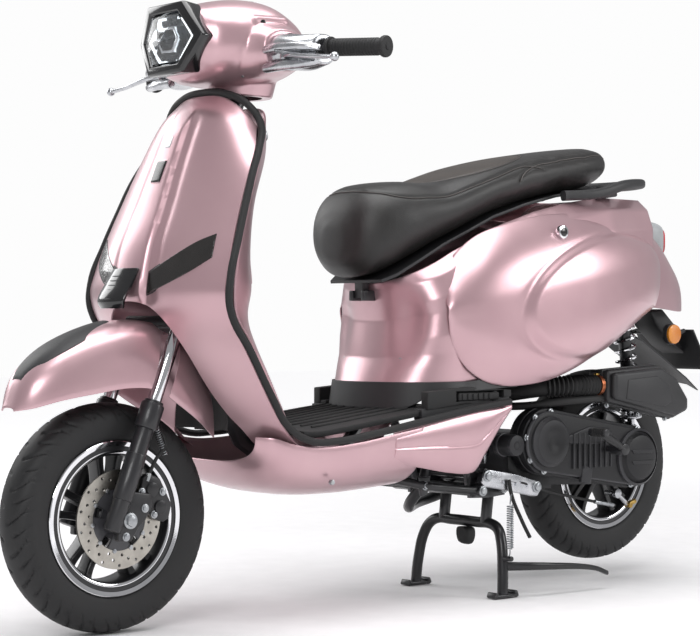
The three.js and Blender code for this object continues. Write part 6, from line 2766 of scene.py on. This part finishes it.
    def hangers(self) -> None:
        """Makes the polished hanger arms that carry the engine."""
        arm = slab(self.hanger, 114.6, 121, 3.0)
        corners = ((900, 240), (922, 237), (924, 244), (902, 248))
        slots = [
            slab([(y + 34 * i, z - 5 * i) for y, z in corners], 118, 126, 0) for i in range(3)
        ]
        self.kit.add(both(cut(arm, *slots)), "polished_hangers", CAST_ALUMINIUM)
        bolts = [
            bolt((s * 121, y, z), (s, 0, 0), 9, 7)
            for s in SIDES for y, z in ((872, 256), (1018, 226))
        ]
        self.kit.add(gathered(*bolts), "hanger_bolts", ZINC)


@dataclass
class RearShock:
    """The spring and damper between the frame and the engine."""

    x: float = 75.0
    top: tuple[float, float] = (1335.0, 608.0)
    length: float = 276.0
    coil_radius: float = 21.8
    wire: float = 3.2
    turns: float = 9.5
    back: float = 34.0
    down: float = 274.0

    def along(self, distance: float) -> tuple[float, float, float]:
        """Finds a place down the shock from its top eye."""
        share = distance / math.hypot(self.back, self.down)
        return self.x, self.top[0] + share * self.back, self.top[1] - share * self.down

    def build(self) -> None:
        """Makes the eyes, body, rod and coil."""
        upper, lower = Kit("shock_top"), Kit("shock_rod")
        eye = rod_x(self.x - 10, self.x + 10, *self.top, 15, edge=1.5)
        body = rod(self.along(12), self.along(140), 14, edge=2)
        cup = rod(self.along(18), self.along(27), 26, edge=2)
        upper.add(gathered(eye, body, cup), "shock_body", BLACK_ENAMEL, ["shock_upper"])
        high, low = self.along(30), self.along(self.length - 36)
        spring = coil(high, low, self.coil_radius, self.wire, self.turns)
        upper.add(spring, "shock_coil", CHROME, ["shock_spring"], slot="steel")
        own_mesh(spring)
        shaft = rod(self.along(110), self.along(self.length - 6), 8)
        low_cup = rod(self.along(self.length - 34), self.along(self.length - 26), 25, edge=2)
        low_eye = rod_x(self.x - 8, self.x + 8, *self.along(self.length)[1:], 13, edge=1.5)
        whole = gathered(shaft, low_cup, low_eye)
        lower.add(whole, "shock_rod_and_eye", CAST_ALUMINIUM, ["shock_lower"])


# ------------------------------------------------------------------ frame and stand


@dataclass
class Underframe:
    """The tubes seen below the floor, with their gussets and bolts."""

    def build(self) -> None:
        """Dresses the frame and adds what is bolted to it."""
        kit = Kit("chassis")
        kit.refine("frame", BLACK_ENAMEL, 0.0, slot="steel_tube").name = "painted_frame"
        line = ((60, 640, 262), (104, 700, 246), (108, 800, 232), (108, 858, 226))
        rails = [pipe([(s * x, y, z) for x, y, z in line], 9.0) for s in SIDES]
        tie = rod_x(-108, 108, 706, 246, 8)
        cross = rod_x(-121, 121, 858, 226, 11.5, edge=2)
        tab_line = ((690, 262), (724, 262), (716, 226), (700, 222))
        tab = [slab(tab_line, s * 100, s * 108, 2.0) for s in SIDES]
        tubes = gathered(*rails, tie, cross, *tab)
        kit.add(tubes, "under_floor_tubes", BLACK_ENAMEL, slot="steel_tube")
        bolts = [
            bolt((s * 109, y, z), (s, 0, 0), 7, 5)
            for s in SIDES for y, z in ((708, 244), (933, 226))
        ]
        bolts += [bolt((s * 122, 858, 226), (s, 0, 0), 8, 6) for s in SIDES]
        kit.add(gathered(*bolts), "frame_bolts", ZINC)
        guide = pipe([(126, 930, 246), (128, 936, 214), (132, 962, 160), (134, 985, 122)], 4.0)
        kit.add(guide, "drain_tube", RUBBER)


@dataclass
class CentreStand:
    """The folding stand with its feet, lever, return spring and bumper."""

    pivot: tuple[float, float] = (933.0, 226.0)
    half_width: float = 134.0
    foot_y: float = 905.0
    lever_line: tuple[Row, ...] = (
        (130, 909, 66), (156, 940, 66), (169, 1000, 63), (171, 1090, 56), (170, 1150, 47),
        (170, 1184, 35),
    )

    def build(self) -> None:
        """Makes the stand."""
        kit = Kit("stand")
        w, y = self.half_width, self.foot_y
        left = [
            (w, y, 6), (130, 909, 60), (118, 916, 118), (104, 921, 140), (82, 923, 150),
            (40, 923, 151),
        ]
        legs = pipe([(-a, b, c) for a, b, c in left] + left[::-1], 11.4, fine=8)
        sleeves = [rod_x(s * 44, s * 84, *self.pivot, 12, edge=1.5) for s in SIDES]
        drops = [rod((s * 64, 932, 222), (s * 64, 923, 150), 12) for s in SIDES]
        feet = []
        for s in SIDES:
            for front, rear, height, edge, turn in (
                (-28, 30, (2, 9), 2.4, 0), (24, 34, (1, 15), 3.0, 22), (-33, -25, (1, 14), 3.0, -24)
            ):
                sides = (s * w - 14, s * w + 14)
                feet.append(block(sides, (y + front, y + rear), height, edge, turn=(turn, 0, 0)))
        whole = gathered(legs, *sleeves, *drops, *feet, self.lever())
        kit.add(whole, "painted_stand", BLACK_ENAMEL, ["centre_stand"], slot="steel_tube")
        bumper = loft(
            [
                (905, 128, 13, 12, 3), (912, 122, 17, 18, 3), (930, 120, 16, 19, 3),
                (938, 124, 12, 13, 3),
            ],
            sides=32, fine=12, x=6.0,
        )
        rounded(bumper, 1.0)
        kit.add(bumper, "stand_bumper", RUBBER)
        spring = coil((152, 908, 104), (152, 908, 196), 6.0, 1.5, 19)
        hooks = [
            pipe([(152, 908, 197), (152, 909, 206), (146, 916, 214), (138, 926, 216)], 1.5, sides=2),
            pipe([(152, 908, 103), (152, 908, 94), (146, 908, 86), (138, 908, 84)], 1.5, sides=2),
        ]
        kit.add(gathered(spring, *hooks), "stand_return_spring", ZINC, ["stand_spring"])
        post = rod((132, 908, 82), (158, 908, 84), 5.5, edge=1.2)
        kit.add(post, "spring_post", BLACK_ENAMEL, slot="steel_tube")

    def lever(self) -> Piece:
        """Makes the flattened, curved foot lever.

        Returns:
            The new piece.
        """
        line = smooth_rows(self.lever_line, 40)
        rings = []
        for share, (x, y, z) in zip(np.arange(40) / 39, line):
            deep = 6.2 + 0.6 * math.sin(math.pi * share)
            high = 9.5 - 4.5 * share
            section = oval(deep, high, 3.0, 20)
            rings.append([(x + a, y, z + b) for a, b in section])
        return skin(np.array(rings))


# ------------------------------------------------------------------ studio


@dataclass
class Studio:
    """The pale floor, the soft lights and the camera."""

    camera_place: tuple[float, float, float] = (3.08595, -2.74848, 0.58391)
    azimuth: float = 51.576
    drop: float = 2.2476
    lens: float = 102.45
    shift: tuple[float, float] = (0.1066, 0.1124)
    floor_half: float = 14.0
    glow_from: float = 1.4
    glow_to: float = 4.5
    glow: float = 0.62
    surround_strength: float = 0.42
    aim: tuple[float, float, float] = (0.0, 0.0, 0.55)

    def build(self) -> None:
        """Makes the studio."""
        self.floor()
        self.light()
        self.camera()

    def floor(self) -> None:
        """Makes the plain floor that the scooter stands on."""
        only()
        bpy.ops.mesh.primitive_plane_add(size=2 * self.floor_half, location=(0, 0, -0.0005))
        floor = set_down(bpy.context.object)
        floor.name = "studio_floor"
        material = STUDIO_PAINT.material()
        place = add_node(material, "ShaderNodeTexCoord")
        away = add_node(
            material, "ShaderNodeVectorMath", {0: place.outputs["Object"]}, operation="LENGTH"
        )
        fade = add_node(
            material, "ShaderNodeMapRange",
            {
                "Value": away.outputs["Value"], "From Min": self.glow_from,
                "From Max": self.glow_to, "To Max": self.glow,
            },
        )
        shader = material.node_tree.nodes["Principled BSDF"]
        shader.inputs["Emission Color"].default_value = linear("ffffff")
        material.node_tree.links.new(fade.outputs["Result"], shader.inputs["Emission Strength"])
        floor.data.materials.append(material)

    def light(self) -> None:
        """Sets an even pale surround with four large soft lamps."""
        world = bpy.data.worlds.new("studio_surround")
        world.use_nodes = True
        tree = world.node_tree
        surround = tree.nodes["Background"]
        surround.inputs[0].default_value = linear("f4f4f6")
        surround.inputs[1].default_value = self.surround_strength
        backdrop = add_node(
            world, "ShaderNodeBackground", {"Color": linear("fdfdfd"), "Strength": 1.0}
        )
        seen = add_node(world, "ShaderNodeLightPath")
        mix = add_node(world, "ShaderNodeMixShader")
        tree.links.new(seen.outputs["Is Camera Ray"], mix.inputs[0])
        tree.links.new(surround.outputs[0], mix.inputs[1])
        tree.links.new(backdrop.outputs[0], mix.inputs[2])
        tree.links.new(mix.outputs[0], tree.nodes["World Output"].inputs["Surface"])
        bpy.context.scene.world = world
        bpy.context.scene.view_settings.view_transform = "Standard"
        for name, place, size, power in (
            ("overhead", (0.4, -0.2, 3.2), 2.6, 92.0), ("front_side", (2.6, -3.6, 2.4), 1.6, 62.0),
            ("rear_side", (3.0, 2.6, 2.0), 1.5, 52.0), ("far_side", (-3.2, -1.0, 2.2), 2.0, 46.0),
        ):
            data = bpy.data.lights.new(name, "AREA")
            data.energy, data.size = power, size
            lamp = bpy.data.objects.new(name, data)
            bpy.context.collection.objects.link(lamp)
            lamp.location = place
            ahead = Vector(self.aim) - Vector(place)
            lamp.rotation_euler = ahead.to_track_quat("-Z", "Y").to_euler()

    def camera(self) -> None:
        """Sets the camera low on the front left."""
        data = bpy.data.cameras.new("camera")
        data.lens = self.lens
        data.sensor_width = 36.0
        data.shift_x, data.shift_y = self.shift
        data.clip_end = 60.0
        camera = bpy.data.objects.new("camera", data)
        bpy.context.collection.objects.link(camera)
        a, e = math.radians(self.azimuth), math.radians(self.drop)
        ahead = Vector((-math.sin(a) * math.cos(e), math.cos(a) * math.cos(e), -math.sin(e)))
        camera.location = self.camera_place
        camera.rotation_euler = ahead.to_track_quat("-Z", "Y").to_euler()
        bpy.context.scene.camera = camera


def main() -> None:
    """Builds the scooter, one sub-assembly after another."""
    logging.basicConfig(level=logging.INFO, format="%(name)s %(message)s")
    assemblies = [
        Studio(),
        Wheel("front", "front_wheel", 0.0, 215.0),
        Wheel("rear", "rear_wheel", 1320.0, 255.0),
        FrontBrake(),
        Fork(),
        FrontFender(),
        Handlebar(),
        Headset(),
        FrontBody(),
        Floor(),
        RearBody(),
        Seat(),
        Engine(),
        RearShock(),
        Underframe(),
        CentreStand(),
    ]
    for assembly in assemblies:
        assembly.build()
        LOG.info("%s is built", type(assembly).__name__)


if __name__ == "__main__":
    main()
